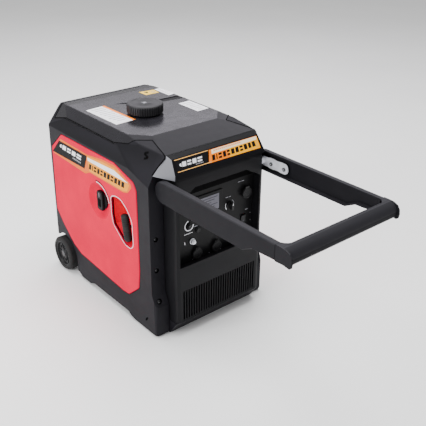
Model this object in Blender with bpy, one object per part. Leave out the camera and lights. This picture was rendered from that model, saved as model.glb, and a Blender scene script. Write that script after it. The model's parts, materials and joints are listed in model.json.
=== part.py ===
"""Portable closed-frame inverter generator, built in metres with +Z up.

Lengths are worked out in a body frame (X across, front face towards -Y, ground at z = 0) and the
whole assembly is moved along Y at the end, so that the origin is the bottom centre of its box.
"""
import itertools
import math

import bmesh
import bpy
from mathutils import Matrix, Vector

# ---- overall sizes ---------------------------------------------------------------------------
HALF_W = 0.2195            # side wall of the casing
HALF_L = 0.303             # front of the feet
TOP_Z = 0.603              # flat deck
SKIN = 0.003               # moulded wall
GAP = 0.0009               # half of a parting line
FIT = 0.0003               # clearance between parts that touch

# ---- front module ----------------------------------------------------------------------------
MODULE_W = 0.168
MODULE_Y = -0.342
MODULE_BACK = -0.262
MODULE_Z = (0.0510, 0.5352)
PANEL_Y = -0.3095
PILLAR_Y = -0.284

# ---- handle ----------------------------------------------------------------------------------
PIVOT_Y = -0.321
PIVOT_Z = 0.496
ARM_X = (0.1835, 0.2005)
ARM_TOP = 0.529
ARM_LOW = 0.463
BAR_Y = -0.762             # joint between arm and crossbar
BRACKET_BOLTS = (-0.036, -0.090)
TIP_Y = -0.8158

# ---- wheels ----------------------------------------------------------------------------------
WHEEL_R = 0.062
WHEEL_Y = 0.243
WHEEL_X = (0.1970, 0.2365)
AXLE_R = 0.006

# ---- engine ----------------------------------------------------------------------------------
CRANK_Y = 0.000
CRANK_Z = 0.205
CAP_X = -0.020
CAP_Y = 0.008


# ==============================================================================================
# small modelling kit
# ==============================================================================================
def clear_scene():
    for obj in list(bpy.data.objects):
        bpy.data.objects.remove(obj, do_unlink=True)


def finish(bm, name):
    bmesh.ops.remove_doubles(bm, verts=bm.verts, dist=1e-7)
    bmesh.ops.recalc_face_normals(bm, faces=bm.faces)
    mesh = bpy.data.meshes.new(name)
    bm.to_mesh(mesh)
    bm.free()
    obj = bpy.data.objects.new(name, mesh)
    bpy.context.scene.collection.objects.link(obj)
    return obj


def hull(name, points, flat=0.01):
    bm = bmesh.new()
    for p in points:
        bm.verts.new(p)
    result = bmesh.ops.convex_hull(bm, input=bm.verts)
    loose = [v for v in bm.verts if not v.link_faces]
    bmesh.ops.delete(bm, geom=loose, context='VERTS')
    bmesh.ops.dissolve_limit(bm, angle_limit=flat, verts=bm.verts, edges=bm.edges)
    return finish(bm, name)


def box(name, lo, hi):
    return hull(name, list(itertools.product(*zip(lo, hi))))


def prism(name, outline, axis, lo, hi):
    """Extrude a closed outline (in the two other axes, in XYZ order) along one axis."""
    bm = bmesh.new()
    rings = []
    for level in (lo, hi):
        ring = []
        for a, b in outline:
            co = [a, b]
            co.insert(axis, level)
            ring.append(bm.verts.new(co))
        rings.append(ring)
    n = len(outline)
    bm.faces.new(rings[0])
    bm.faces.new(rings[1])
    for i in range(n):
        j = (i + 1) % n
        bm.faces.new((rings[0][i], rings[0][j], rings[1][j], rings[1][i]))
    return finish(bm, name)


def lathe(name, profile, axis, centre, count=28, phase=0.0):
    """Turn a closed (distance along axis, radius) profile about an axis through centre."""
    bm = bmesh.new()
    others = [i for i in range(3) if i != axis]
    rings = []
    for k in range(count):
        ang = 2.0 * math.pi * k / count + phase
        ring = []
        for along, radius in profile:
            if radius < 1e-6 and k > 0:
                ring.append(None)
                continue
            co = [0.0, 0.0, 0.0]
            co[axis] = along
            co[others[0]] = centre[0] + radius * math.cos(ang)
            co[others[1]] = centre[1] + radius * math.sin(ang)
            ring.append(bm.verts.new(co))
        rings.append(ring)
    m = len(profile)
    for k in range(count):
        a_ring = rings[k]
        b_ring = rings[(k + 1) % count]
        for i in range(m):
            j = (i + 1) % m
            corners = []
            for ring, index in ((a_ring, i), (a_ring, j), (b_ring, j), (b_ring, i)):
                vert = ring[index]
                if vert is None:
                    vert = rings[0][index]
                if vert not in corners:
                    corners.append(vert)
            if len(corners) > 2:
                bm.faces.new(corners)
    return finish(bm, name)


def rod(name, axis, centre, radius, lo, hi, count=24, phase=0.0):
    return lathe(name, [(lo, 0.0), (lo, radius), (hi, radius), (hi, 0.0)], axis, centre, count, phase)


def tube(name, axis, centre, inner, outer, lo, hi, count=28):
    return lathe(name, [(lo, inner), (lo, outer), (hi, outer), (hi, inner)], axis, centre, count)


def sweep(name, path, radius, sides=10, closed_tube=0.0):
    """Round bar along a list of points; closed_tube > 0 gives a pipe with that inner radius."""
    bm = bmesh.new()
    points = [Vector(p) for p in path]
    loops = []
    up = Vector((0.0, 0.0, 1.0))
    for i, point in enumerate(points):
        before = points[max(i - 1, 0)]
        after = points[min(i + 1, len(points) - 1)]
        tangent = (after - before).normalized()
        side = tangent.cross(up)
        if side.length < 0.2:
            side = tangent.cross(Vector((1.0, 0.0, 0.0)))
        side.normalize()
        lift = side.cross(tangent).normalized()
        stretch = 1.0
        if 0 < i < len(points) - 1:
            turn = (point - before).normalized().angle((after - point).normalized())
            stretch = 1.0 / max(math.cos(turn / 2.0), 0.5)
        ring = []
        for r in (radius, closed_tube):
            if r <= 0.0:
                continue
            loop = []
            for k in range(sides):
                ang = 2.0 * math.pi * k / sides
                loop.append(bm.verts.new(point + side * (r * math.cos(ang) * stretch) + lift * (r * math.sin(ang))))
            ring.append(loop)
        loops.append(ring)
    for layer in range(len(loops[0])):
        for a, b in zip(loops[:-1], loops[1:]):
            for k in range(sides):
                j = (k + 1) % sides
                bm.faces.new((a[layer][k], a[layer][j], b[layer][j], b[layer][k]))
    for end in (loops[0], loops[-1]):
        if len(end) == 1:
            bm.faces.new(end[0])
        else:
            for k in range(sides):
                j = (k + 1) % sides
                bm.faces.new((end[0][k], end[0][j], end[1][j], end[1][k]))
    return finish(bm, name)


def apply_boolean(obj, other, operation, keep=False):
    mod = obj.modifiers.new("step", 'BOOLEAN')
    mod.operation = operation
    mod.solver = 'EXACT'
    mod.object = other
    bpy.context.view_layer.update()
    graph = bpy.context.evaluated_depsgraph_get()
    mesh = bpy.data.meshes.new_from_object(obj.evaluated_get(graph))
    obj.modifiers.clear()
    obj.data = mesh
    mesh.name = obj.name
    if not keep:
        bpy.data.objects.remove(other, do_unlink=True)
    return obj


def cut(obj, *others):
    for other in others:
        apply_boolean(obj, other, 'DIFFERENCE')
    return obj


def fuse(obj, *others):
    for other in others:
        apply_boolean(obj, other, 'UNION')
    return obj


def common(obj, other):
    return apply_boolean(obj, other, 'INTERSECT')


def tidy(obj, angle=0.002, dist=2e-6):
    bm = bmesh.new()
    bm.from_mesh(obj.data)
    bmesh.ops.remove_doubles(bm, verts=bm.verts, dist=dist)
    bmesh.ops.dissolve_limit(bm, angle_limit=angle, verts=bm.verts, edges=bm.edges)
    bmesh.ops.triangulate(bm, faces=bm.faces)
    bm.to_mesh(obj.data)
    bm.free()
    return obj


def rounded_outline(points, radius, steps=2):
    """Round every corner of a closed outline; radius may be one value or one per corner."""
    out = []
    n = len(points)
    for i, p in enumerate(points):
        p = Vector(p)
        r = radius[i] if isinstance(radius, (list, tuple)) else radius
        a = (Vector(points[i - 1]) - p)
        b = (Vector(points[(i + 1) % n]) - p)
        half = a.angle(b) / 2.0
        reach = min(r / math.tan(half), 0.45 * a.length, 0.45 * b.length)
        if reach < 1e-5:
            out.append((p.x, p.y))
            continue
        start = p + a.normalized() * reach
        end = p + b.normalized() * reach
        for k in range(steps + 1):
            t = k / steps
            q = start * (1 - t) ** 2 + p * (2 * t * (1 - t)) + end * t ** 2
            out.append((q.x, q.y))
    return out


def grown_outline(points, amount):
    """Offset a closed outline outwards (amount > 0) or inwards."""
    area = 0.0
    n = len(points)
    for i in range(n):
        x0, y0 = points[i]
        x1, y1 = points[(i + 1) % n]
        area += x0 * y1 - x1 * y0
    sign = 1.0 if area > 0 else -1.0
    out = []
    for i in range(n):
        p = Vector(points[i])
        a = (p - Vector(points[i - 1])).normalized()
        b = (Vector(points[(i + 1) % n]) - p).normalized()
        na = Vector((a.y, -a.x)) * sign
        nb = Vector((b.y, -b.x)) * sign
        mid = (na + nb).normalized()
        q = p + mid * (amount / max(mid.dot(na), 0.3))
        out.append((q.x, q.y))
    return out


def mirrored(obj, name):
    mesh = obj.data.copy()
    mesh.transform(Matrix.Diagonal((-1.0, 1.0, 1.0, 1.0)))
    mesh.flip_normals()
    mesh.name = name
    twin = bpy.data.objects.new(name, mesh)
    bpy.context.scene.collection.objects.link(twin)
    return twin


# ---- rounded polyhedra from flat faces -------------------------------------------------------
def unit(v):
    return Vector(v).normalized()


def plane_through(a, b, c, inside=(0.0, 0.0, 0.3)):
    n = (Vector(b) - Vector(a)).cross(Vector(c) - Vector(a)).normalized()
    d = n.dot(Vector(a))
    if n.dot(Vector(inside)) > d:
        n = -n
        d = -d
    return n, d


def corners_of(planes):
    found = []
    for group in itertools.combinations(range(len(planes)), 3):
        (n0, d0), (n1, d1), (n2, d2) = (planes[i] for i in group)
        det = n0.dot(n1.cross(n2))
        if abs(det) < 1e-4:
            continue
        p = (n1.cross(n2) * d0 + n2.cross(n0) * d1 + n0.cross(n1) * d2) / det
        if all(n.dot(p) <= d + 1e-6 for n, d in planes):
            for q, users in found:
                if (q - p).length < 1e-5:
                    users.update(group)
                    break
            else:
                found.append((p, set(group)))
    return found


def rounded_body(name, planes, radius):
    """Convex body bounded by the planes, with every edge rounded to the radius."""
    centres = corners_of([(n, d - radius) for n, d in planes])
    points = []
    for centre, users in centres:
        normals = [planes[i][0] for i in sorted(users)]
        around = list(normals)
        for a, b in itertools.combinations(normals, 2):
            around.append((a + b).normalized())
        total = Vector((0.0, 0.0, 0.0))
        for a in normals:
            total += a
        around.append(total.normalized())
        for n in around:
            points.append(centre + n * radius)
    return hull(name, points)


def both_sides(normal, d):
    n = unit(normal)
    twin = Vector((-n.x, n.y, n.z))
    return [(n, d), (twin, d)]


def skin_planes(shrink=0.0, bottom=0.004, front=None, roomy=False):
    """Flat faces of the casing; shrink moves all of them inwards."""
    planes = []

    def add(n, point, pair=True):
        n = unit(n)
        d = n.dot(Vector(point)) - shrink
        if pair:
            planes.extend(both_sides(n, d))
        else:
            planes.append((n, d))

    add((1, 0, 0), (HALF_W, 0, 0))
    add((0.955, 0, 0.296), (HALF_W, 0, 0.530))
    add((0.608, 0, 0.794), (0.204, 0, 0.580))
    add((0, 0, 1), (0, 0, TOP_Z), False)
    add((0, -0.0948, 0.9955), (0, -0.174, TOP_Z), False)
    add((0, 0.0777, 0.997), (0, 0.222, TOP_Z), False)
    add((0, 0.977, 0.2116), (0, 0.285, 0.597), False)
    add((0, 0.9997, 0.025), (0, 0.300, 0.130), False)
    n, d = plane_through((0.167, -0.110, TOP_Z), (0.122, -0.161, TOP_Z), (0.168, -0.300, 0.591))
    planes.extend(both_sides(n, d + 0.0009 - shrink))
    n, d = plane_through((0.168, -0.300, 0.591), (0.204, -0.100, 0.580), (0.206, -0.284, 0.525))
    planes.extend(both_sides(n, d + 0.0015 - shrink))
    n, d = plane_through((0.163, 0.267, 0.597), (HALF_W, 0.285, 0.519), (0.174, 0.190, TOP_Z))
    planes.extend(both_sides(n, d + 0.008 - shrink))
    planes.append((Vector((0, -1, 0)), (HALF_L - shrink) if front is None else front))
    planes.append((Vector((0, 0, -1)), -bottom))
    return planes


def block_planes(lo, hi):
    planes = []
    for axis in range(3):
        n = Vector((0.0, 0.0, 0.0))
        n[axis] = 1.0
        planes.append((n.copy(), hi[axis]))
        planes.append((-n, -lo[axis]))
    return planes


def soft_box(name, lo, hi, radius):
    return rounded_body(name, block_planes(lo, hi), radius)


# ==============================================================================================
# outlines shared between neighbouring parts
# ==============================================================================================
def top_outline(grow=0.0):
    half = [(0.2040, 0.262), (0.2040, -0.098), (0.1915, -0.153), (0.1716, -0.169), (0.1385, -0.1975), (0.1526, -0.2446),
            (0.1680, -0.2985)]
    ring = half + [(-x, y) for x, y in reversed(half)]
    return grown_outline(ring, grow) if grow else ring


SIDE_PANEL = [(0.201, 0.522), (-0.112, 0.525), (-0.212, 0.496), (-0.226, 0.474), (-0.226, 0.205), (-0.218, 0.140),
              (-0.160, 0.089), (-0.128, 0.086), (0.130, 0.105), (0.176, 0.124), (0.242, 0.181), (0.280, 0.225),
              (0.272, 0.461)]
RECOIL_HOLE = [(-0.089, 0.405), (-0.110, 0.4145), (-0.140, 0.4145), (-0.172, 0.394), (-0.1955, 0.362),
               (-0.197, 0.283), (-0.184, 0.269), (-0.155, 0.270), (-0.096, 0.316), (-0.089, 0.345)]
DISPLAY = (-0.083, 0.017, 0.380, 0.431)
SELECTOR = (0.062, 0.375)
CONNECTOR = (0.124, 0.402)
BREAKER = (-0.096, 0.355)
BREAKER_R = 0.0075
STARTER = (-0.064, 0.332)
STARTER_R = 0.0068
GROUND = (-0.085, 0.300)
SOCKETS = ((-0.070, 0.257), (0.006, 0.2555), (0.082, 0.2555))
ROCKER = (0.118, 0.312)
SWITCH = (-0.014, 0.363)
DISH_R = 0.058
DISH_DEPTH = 0.016
GRIP = (-0.152, 0.322)


def arch_outline():
    radius = WHEEL_R + 0.014
    pts = [(WHEEL_Y - radius, -0.02), (WHEEL_Y - radius, WHEEL_R)]
    for k in range(1, 8):
        ang = math.pi - math.pi * k / 8
        pts.append((WHEEL_Y + radius * math.cos(ang), WHEEL_R + radius * math.sin(ang)))
    pts += [(WHEEL_Y + radius + 0.02, WHEEL_R), (WHEEL_Y + radius + 0.02, -0.02)]
    return pts


def visor_body(name, grow=0.0):
    """Overhanging brow of the front module with a swept-back cheek on each side."""
    half = [(0.1655, -0.2990, 0.5905), (0.1610, -0.3165, 0.5830), (0.1672, -0.3400, 0.5440), (0.1690, -0.3420, 0.5300),
            (0.2045, -0.2860, 0.5356), (0.1980, -0.2770, 0.5356), (0.1640, -0.2800, 0.5600), (0.1680, -0.2800, 0.5300)]
    pts = [Vector(p) for p in half] + [Vector((-p[0], p[1], p[2])) for p in half]
    if grow:
        spread = []
        for p in pts:
            for d in itertools.product((-1, 0, 1), repeat=3):
                if d != (0, 0, 0):
                    spread.append(p + Vector(d).normalized() * grow)
        pts = spread
    return hull(name, pts)


# ==============================================================================================
# casing
# ==============================================================================================
def make_top_cover():
    top = rounded_body("top_cover", skin_planes(bottom=0.50), 0.010)
    common(top, prism("tool", top_outline(), 2, 0.52, 0.70))
    inner = rounded_body("tool", skin_planes(shrink=SKIN, bottom=0.40), 0.007)
    cut(top, inner)
    channel = [(-0.052, 0.142), (0.108, 0.091), (0.176, 0.089), (0.184, 0.052), (0.100, 0.062), (-0.006, 0.112)]
    groove = prism("tool", channel, 2, TOP_Z - 0.0020, 0.70)
    cut(top, groove)
    cut(top, rod("tool", 2, (CAP_X, CAP_Y), 0.0385, 0.5, 0.7))
    cut(top, visor_body("tool", 2 * GAP))
    cut(top, box("tool", (-MODULE_W - 2 * GAP, -0.5, 0.40), (MODULE_W + 2 * GAP, -0.230, 0.5358)))
    return tidy(top)


def make_side_shell():
    shell = rounded_body("right_side_shell", skin_planes(bottom=0.0006), 0.010)
    cut(shell, box("tool", (-0.5, -0.5, -0.5), (0.100, 0.5, 1.0)))
    inner = rounded_body("tool", skin_planes(shrink=SKIN, bottom=-0.10, front=0.279), 0.007)
    cut(shell, inner)
    cut(shell, prism("tool", top_outline(2 * GAP), 2, 0.50, 0.70))
    cut(shell, box("tool", (-0.5, 0.230, -0.1), (0.1882, 0.5, 0.8)))
    cut(shell, box("tool", (-0.5, -0.5, -0.1), (MODULE_W + 2 * GAP, -0.230, 0.5355)))
    cut(shell, visor_body("tool", 2 * GAP))
    pillar = [(-0.34, 0.106), (-0.304, 0.106), (PILLAR_Y, 0.150), (PILLAR_Y, 0.5368), (-0.34, 0.5368)]
    cut(shell, prism("tool", pillar, 0, 0.15, 0.30))
    cut(shell, box("tool", (-0.5, -0.5, 0.20), (0.5, -0.300, 0.70)))
    cut(shell, prism("tool", arch_outline(), 0, 0.15, 0.30))
    under = [(-0.190, -0.02), (-0.188, 0.0006), (-0.147, 0.021), (0.060, 0.021), (0.086, 0.008), (0.136, 0.008),
             (0.158, 0.021), (0.35, 0.0212), (0.35, -0.02)]
    cut(shell, prism("tool", under, 0, 0.15, 0.30))
    window = rounded_outline(SIDE_PANEL, 0.014)
    cut(shell, prism("tool", window, 0, 0.20, 0.30))
    return tidy(shell)


def bevelled_plate(name, outline, x_in, x_out, edge):
    """Plate facing +X whose outer rim is chamfered."""
    bm = bmesh.new()
    rings = []
    levels = ((x_in, 0.0), (x_out - edge, 0.0), (x_out, -edge))
    for x, grow in levels:
        ring = grown_outline(outline, grow) if grow else outline
        rings.append([bm.verts.new((x, a, b)) for a, b in ring])
    n = len(outline)
    bm.faces.new(rings[0])
    bm.faces.new(rings[-1])
    for lower, upper in zip(rings[:-1], rings[1:]):
        for i in range(n):
            j = (i + 1) % n
            bm.faces.new((lower[i], lower[j], upper[j], upper[i]))
    return finish(bm, name)


def make_side_panels():
    outline = grown_outline(rounded_outline(SIDE_PANEL, 0.014), -2 * GAP)
    left = mirrored(bevelled_plate("blank", outline, HALF_W - SKIN - 0.0005, HALF_W + 0.0020, 0.0022), "left_side_panel")
    bpy.data.objects.remove(bpy.data.objects["blank"], do_unlink=True)
    cut(left, prism("tool", rounded_outline(RECOIL_HOLE, 0.012), 0, -0.25, -0.20))
    face = -HALF_W - 0.0020
    cup = [(face + 0.0040, 0.0), (face + 0.0040, DISH_R + 0.0030), (face + 0.0190, DISH_R - 0.0120), (face + 0.0190, 0.0)]
    fuse(left, lathe("tool", cup, 0, SWITCH, 32))
    bowl = [(face - 0.0100, 0.0), (face - 0.0100, DISH_R + 0.0020), (face - 0.0001, DISH_R + 0.0012), (face + 0.0014, DISH_R),
            (face + 0.0100, DISH_R - 0.0070), (face + 0.0150, DISH_R - 0.0170), (face + DISH_DEPTH, DISH_R - 0.0220),
            (face + DISH_DEPTH, 0.0)]
    cut(left, lathe("tool", bowl, 0, SWITCH, 32))
    cut(left, rod("tool", 0, SWITCH, 0.0062, -0.25, -0.18, 16))
    right = bevelled_plate("right_side_panel", outline, HALF_W - SKIN - 0.0005, HALF_W + 0.0020, 0.0022)
    for i in range(7):
        z = 0.195 + 0.022 * i
        slot = rounded_outline([(-0.160, z), (0.010, z), (0.010, z + 0.009), (-0.160, z + 0.009)], 0.003, 1)
        cut(right, prism("tool", slot, 0, 0.20, 0.25))
    return tidy(left), tidy(right)


def make_rear_cover():
    rear = rounded_body("rear_cover", skin_planes(), 0.010)
    common(rear, box("tool", (-0.1875, 0.2628, 0.092), (0.1875, 0.40, 0.80)))
    cut(rear, rounded_body("tool", skin_planes(shrink=SKIN, bottom=-0.10), 0.007))
    for i in range(8):
        z = 0.150 + 0.030 * i
        for x0, x1 in ((-0.150, -0.020), (0.155, 0.160)):
            if x1 - x0 < 0.02:
                continue
            cut(rear, box("tool", (x0, 0.25, z), (x1, 0.33, z + 0.012)))
    cut(rear, rod("tool", 1, (0.090, 0.330), 0.0315, 0.25, 0.33, 24))
    return tidy(rear)


def make_front_cover():
    cover = soft_box("front_cover", (-MODULE_W, MODULE_Y, -0.050), (MODULE_W, MODULE_BACK, MODULE_Z[1]), 0.013)
    cut(cover, box("tool", (-0.5, -0.5, -0.5), (0.5, 0.5, MODULE_Z[0])))
    fuse(cover, visor_body("tool"))
    cut(cover, box("tool", (-0.1645, PANEL_Y - FIT, 0.1775), (0.1645, -0.20, 0.5255)))
    cut(cover, box("tool", (-0.1640, MODULE_Y + 0.0045, 0.0545), (0.1640, -0.20, 0.1735)))
    half = [(0.155, 0.2445), (0.155, 0.461), (0.138, 0.473), (0.118, 0.481), (0.099, 0.493)]
    opening = half + [(-x, z) for x, z in reversed(half)]
    cut(cover, prism("tool", opening, 1, -0.36, PANEL_Y + 0.002))
    cut(cover, box("tool", (-0.1500, MODULE_Y + 0.0045, 0.1700), (0.1500, PANEL_Y - 0.0040, 0.2260)))
    brow = [(-0.3090, 0.5240), (-0.3250, 0.5370), (-0.3210, 0.5560), (-0.3100, 0.5720), (-0.3010, 0.5790),
            (-0.2700, 0.5400), (-0.2700, 0.5240)]
    cut(cover, prism("tool", brow, 0, -0.150, 0.150))
    ledge = [(MODULE_Y - 0.001, 0.2447), (PANEL_Y + 0.004, 0.2300), (PANEL_Y + 0.004, 0.2600), (MODULE_Y - 0.001, 0.2600)]
    cut(cover, prism("tool", ledge, 0, -0.155, 0.155))
    cut(cover, box("tool", (-0.1500, -0.36, 0.0545), (0.1500, MODULE_Y + 0.010, 0.1650)))
    return tidy(cover)


def make_front_grille():
    grille = box("front_grille", (-0.1495, MODULE_Y + 0.0005, 0.0550), (0.1495, MODULE_Y + 0.0040, 0.1645))
    count = 30
    pitch = 0.2930 / count
    for i in range(count):
        x = -0.1465 + pitch * (i + 0.5)
        cut(grille, box("tool", (x - 0.0030, -0.36, 0.0585), (x + 0.0030, -0.30, 0.1605)))
    return tidy(grille)


def make_control_panel():
    y0 = PANEL_Y
    y1 = PANEL_Y + 0.0040
    panel = box("control_panel", (-0.1640, y0, 0.1780), (0.1640, y1, 0.5250))
    x0, x1, z0, z1 = DISPLAY
    fuse(panel, box("tool", (x0 - 0.010, y0 - 0.0035, z0 - 0.009), (x1 + 0.012, y0 + 0.001, z1 + 0.010)))
    cut(panel, box("tool", (x0, y0 - 0.02, z0), (x1, y0 - 0.0010, z1)))
    for x, z in SOCKETS:
        fuse(panel, tube("tool", 1, (x, z), 0.0130, 0.0170, y0 - 0.0060, y0 + 0.001, 24))
    fuse(panel, tube("tool", 1, CONNECTOR, 0.0140, 0.0180, y0 - 0.0080, y0 + 0.001, 24))
    for centre, r in ((BREAKER, BREAKER_R), (STARTER, STARTER_R)):
        fuse(panel, rod("tool", 1, centre, r + 0.0035, y0 - 0.0030, y0 + 0.001, 20))
        cut(panel, rod("tool", 1, centre, r + 0.0005, y0 - 0.02, y1 + 0.01, 20))
    cut(panel, rod("tool", 1, SELECTOR, 0.0045, y0 - 0.02, y1 + 0.01, 16))
    cut(panel, rod("tool", 1, GROUND, 0.0045, y0 - 0.02, y1 + 0.01, 16))
    rx, rz = ROCKER
    cut(panel, box("tool", (rx - 0.0100, y0 - 0.02, rz - 0.0140), (rx + 0.0100, y1 + 0.01, rz + 0.0140)))
    return tidy(panel)


def make_base_tray():
    half = [(0.2155, 0.1625), (0.2155, -0.2680), (0.2060, -0.2785)]
    floor = half + [(-x, y) for x, y in reversed(half)]
    tray = prism("base_tray", floor, 2, 0.0240, 0.0300)
    fuse(tray, box("tool", (-0.1900, 0.1595, 0.0250), (0.1900, 0.1625, 0.0885)))
    fuse(tray, box("tool", (-0.1900, 0.1600, 0.0830), (0.1900, 0.2900, 0.0890)))
    sill = [(-0.2770, 0.0006), (-0.3030, 0.0006), (-0.3360, 0.0475), (-0.3360, 0.0505), (-0.2770, 0.0505)]
    fuse(tray, prism("tool", sill, 0, -0.1690, 0.1690))
    for s in (-1, 1):
        lo, hi = sorted((s * 0.120, s * 0.2055))
        fuse(tray, box("tool", (lo, -0.2780, 0.0045), (hi, -0.1950, 0.0250)))
        lo, hi = sorted((s * 0.158, s * 0.170))
        lug = box("tool", (lo, 0.226, 0.044), (hi, 0.260, 0.084))
        cut(lug, rod("tool2", 0, (WHEEL_Y, WHEEL_R), AXLE_R + FIT, lo - 0.01, hi + 0.01, 16))
        fuse(tray, lug)
    return tidy(tray)


def make_feet():
    left = soft_box("front_foot_left", (-0.205, -0.2760, 0.0), (-0.130, -0.1980, 0.0040 - FIT), 0.0012)
    return left, mirrored(left, "front_foot_right")


# ==============================================================================================
# wheels and handle
# ==============================================================================================
def make_wheel():
    x0, x1 = WHEEL_X
    tyre = [(x0, 0.0463), (x0, 0.0560), (x0 + 0.005, 0.0610), (x0 + 0.010, WHEEL_R), (x1 - 0.010, WHEEL_R),
            (x1 - 0.005, 0.0610), (x1, 0.0560), (x1, 0.0463)]
    hub = [(x0 + 0.001, AXLE_R + FIT), (x0 + 0.001, 0.0140), (x0 + 0.014, 0.0160), (x0 + 0.014, 0.0400),
           (x0 + 0.004, 0.0420), (x0 + 0.004, 0.0460), (x1 - 0.003, 0.0460), (x1 - 0.003, 0.0415),
           (x1 - 0.012, 0.0390), (x1 - 0.012, 0.0170), (x1 - 0.006, 0.0140), (x1 - 0.006, AXLE_R + FIT)]
    centre = (WHEEL_Y, WHEEL_R)
    right = (lathe("right_wheel_tyre", tyre, 0, centre, 36), lathe("right_wheel_hub", hub, 0, centre, 24))
    names = ("left_wheel_tyre", "left_wheel_hub")
    return right + tuple(mirrored(obj, n) for obj, n in zip(right, names))


def make_axle():
    inner = WHEEL_X[1] - 0.0057
    outer = WHEEL_X[1] - 0.0030
    half = [(inner, AXLE_R), (inner, 0.0105), (outer - 0.001, 0.0105), (outer, 0.0090), (outer, 0.0)]
    profile = [(-x, r) for x, r in reversed(half)] + half
    return lathe("rear_axle", profile, 0, (WHEEL_Y, WHEEL_R), 16)


def arm_outline(inset=0.0):
    pts = []
    radius = 0.033
    for k in range(9):
        ang = math.pi / 2 - math.pi * k / 8
        pts.append((PIVOT_Y + radius * math.cos(ang), PIVOT_Z + radius * math.sin(ang)))
    pts += [(-0.648, ARM_LOW), (-0.684, 0.4815), (-0.735, 0.4840), (BAR_Y + FIT, 0.4850), (BAR_Y + FIT, ARM_TOP)]
    return grown_outline(pts, -inset) if inset else pts


def make_arm():
    x0, x1 = ARM_X
    outline = arm_outline()
    edge = 0.0035
    bm = bmesh.new()
    rings = []
    for x, shrink in ((x0, 0.0), (x1 - edge, 0.0), (x1 - 0.001, -0.0012), (x1, -edge)):
        ring = grown_outline(outline, shrink) if shrink else outline
        rings.append([bm.verts.new((x, a, b)) for a, b in ring])
    n = len(outline)
    bm.faces.new(rings[0])
    bm.faces.new(rings[-1])
    for lower, upper in zip(rings[:-1], rings[1:]):
        for i in range(n):
            j = (i + 1) % n
            bm.faces.new((lower[i], lower[j], upper[j], upper[i]))
    arm = finish(bm, "handle_arm_right")
    cut(arm, prism("tool", arm_outline(0.0042), 0, x0 - 0.01, x1 - 0.0040))
    for dy in BRACKET_BOLTS:
        bolt = [(0.1837, 0.0), (0.1837, 0.0058), (0.1857, 0.0058), (0.1857, 0.0031), (0.1893, 0.0031),
                (0.1893, 0.0070), (0.1972, 0.0070), (0.1972, 0.0)]
        fuse(arm, lathe("tool", bolt, 0, (PIVOT_Y + dy, PIVOT_Z - 0.003), 12))
    arm = tidy(arm)
    return arm, mirrored(arm, "handle_arm_left")


BAR_SHELL = [(-0.7785, 0.5290), (-0.7870, 0.5283), (-0.7975, 0.5242), (-0.8055, 0.5165), (-0.8098, 0.5055),
             (-0.8092, 0.4950), (-0.8045, 0.4880), (-0.8005, 0.4905), (-0.8040, 0.4965), (-0.8046, 0.5045),
             (-0.8010, 0.5130), (-0.7945, 0.5195), (-0.7860, 0.5235), (-0.7785, 0.5245)]
BAR_EAR = [(BAR_Y, ARM_TOP), (-0.7800, 0.5290), (-0.7945, 0.5275), (-0.8075, 0.5220), (-0.8140, 0.5120),
           (TIP_Y, 0.5000), (-0.8142, 0.4880), (-0.8085, 0.4835), (-0.8010, 0.4845), (-0.7900, 0.4860), (BAR_Y, 0.4850)]


def make_crossbar():
    """Open shell for the hand, with a deeper ear at each end that carries on the line of the arm."""
    x0, x1 = ARM_X
    bar = prism("handle_crossbar", BAR_SHELL, 0, -x1 + 0.002, x1 - 0.002)
    for s in (-1, 1):
        lo, hi = sorted((s * (x1 - 0.0042), s * x1))
        fuse(bar, prism("tool", BAR_EAR, 0, lo, hi))
        fillet = [(s * x0, BAR_Y), (s * (x1 - 0.001), BAR_Y), (s * (x1 - 0.001), -0.7800), (s * 0.1640, -0.7800),
                  (s * 0.1730, -0.7755), (s * 0.1800, -0.7690)]
        fuse(bar, prism("tool", fillet, 2, ARM_TOP - 0.0043, ARM_TOP))
    return tidy(bar, 0.01)


def make_brackets():
    half = [(0.0, 0.0150), (0.022, 0.0150), (0.027, 0.0170), (0.045, 0.0172), (0.052, 0.0155), (0.066, 0.0155),
            (0.074, 0.0170), (0.094, 0.0165), (0.102, 0.0120), (0.105, 0.0040)]
    upper = [(PIVOT_Y - a, PIVOT_Z - 0.002 + b) for a, b in half]
    lower = [(PIVOT_Y - a, PIVOT_Z - 0.002 - b) for a, b in reversed(half)]
    back = [(PIVOT_Y + 0.011, PIVOT_Z - 0.012), (PIVOT_Y + 0.015, PIVOT_Z - 0.002), (PIVOT_Y + 0.011, PIVOT_Z + 0.008)]
    plate = prism("handle_bracket_right", upper + lower + back, 0, 0.1860, 0.1890)
    cut(plate, rod("tool", 0, (PIVOT_Y, PIVOT_Z), 0.0045, 0.15, 0.22, 16))
    for dy in BRACKET_BOLTS:
        cut(plate, rod("tool", 0, (PIVOT_Y + dy, PIVOT_Z - 0.003), 0.0035, 0.15, 0.22, 12))
    plate = tidy(plate)
    return plate, mirrored(plate, "handle_bracket_left")


def make_pivots():
    profile = [(MODULE_W + FIT, 0.0), (MODULE_W + FIT, 0.0110), (0.1855, 0.0110), (0.1855, 0.0042),
               (0.1893, 0.0042), (0.1893, 0.0085), (0.1938, 0.0085), (0.1945, 0.0070), (0.1945, 0.0)]
    right = lathe("handle_pivot_right", profile, 0, (PIVOT_Y, PIVOT_Z), 20)
    return right, mirrored(right, "handle_pivot_left")


# ==============================================================================================
# fuel system
# ==============================================================================================
def make_fuel_cap():
    z1 = 0.6370
    profile = [(0.6045, 0.0375), (0.6045, 0.0515), (0.6200, 0.0520), (0.6215, 0.0580), (0.6320, 0.0585),
               (0.6352, 0.0555), (z1, 0.0440), (z1, 0.0), (0.6280, 0.0), (0.6280, 0.0375)]
    return lathe("fuel_cap", profile, 2, (CAP_X, CAP_Y), 36)


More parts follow.
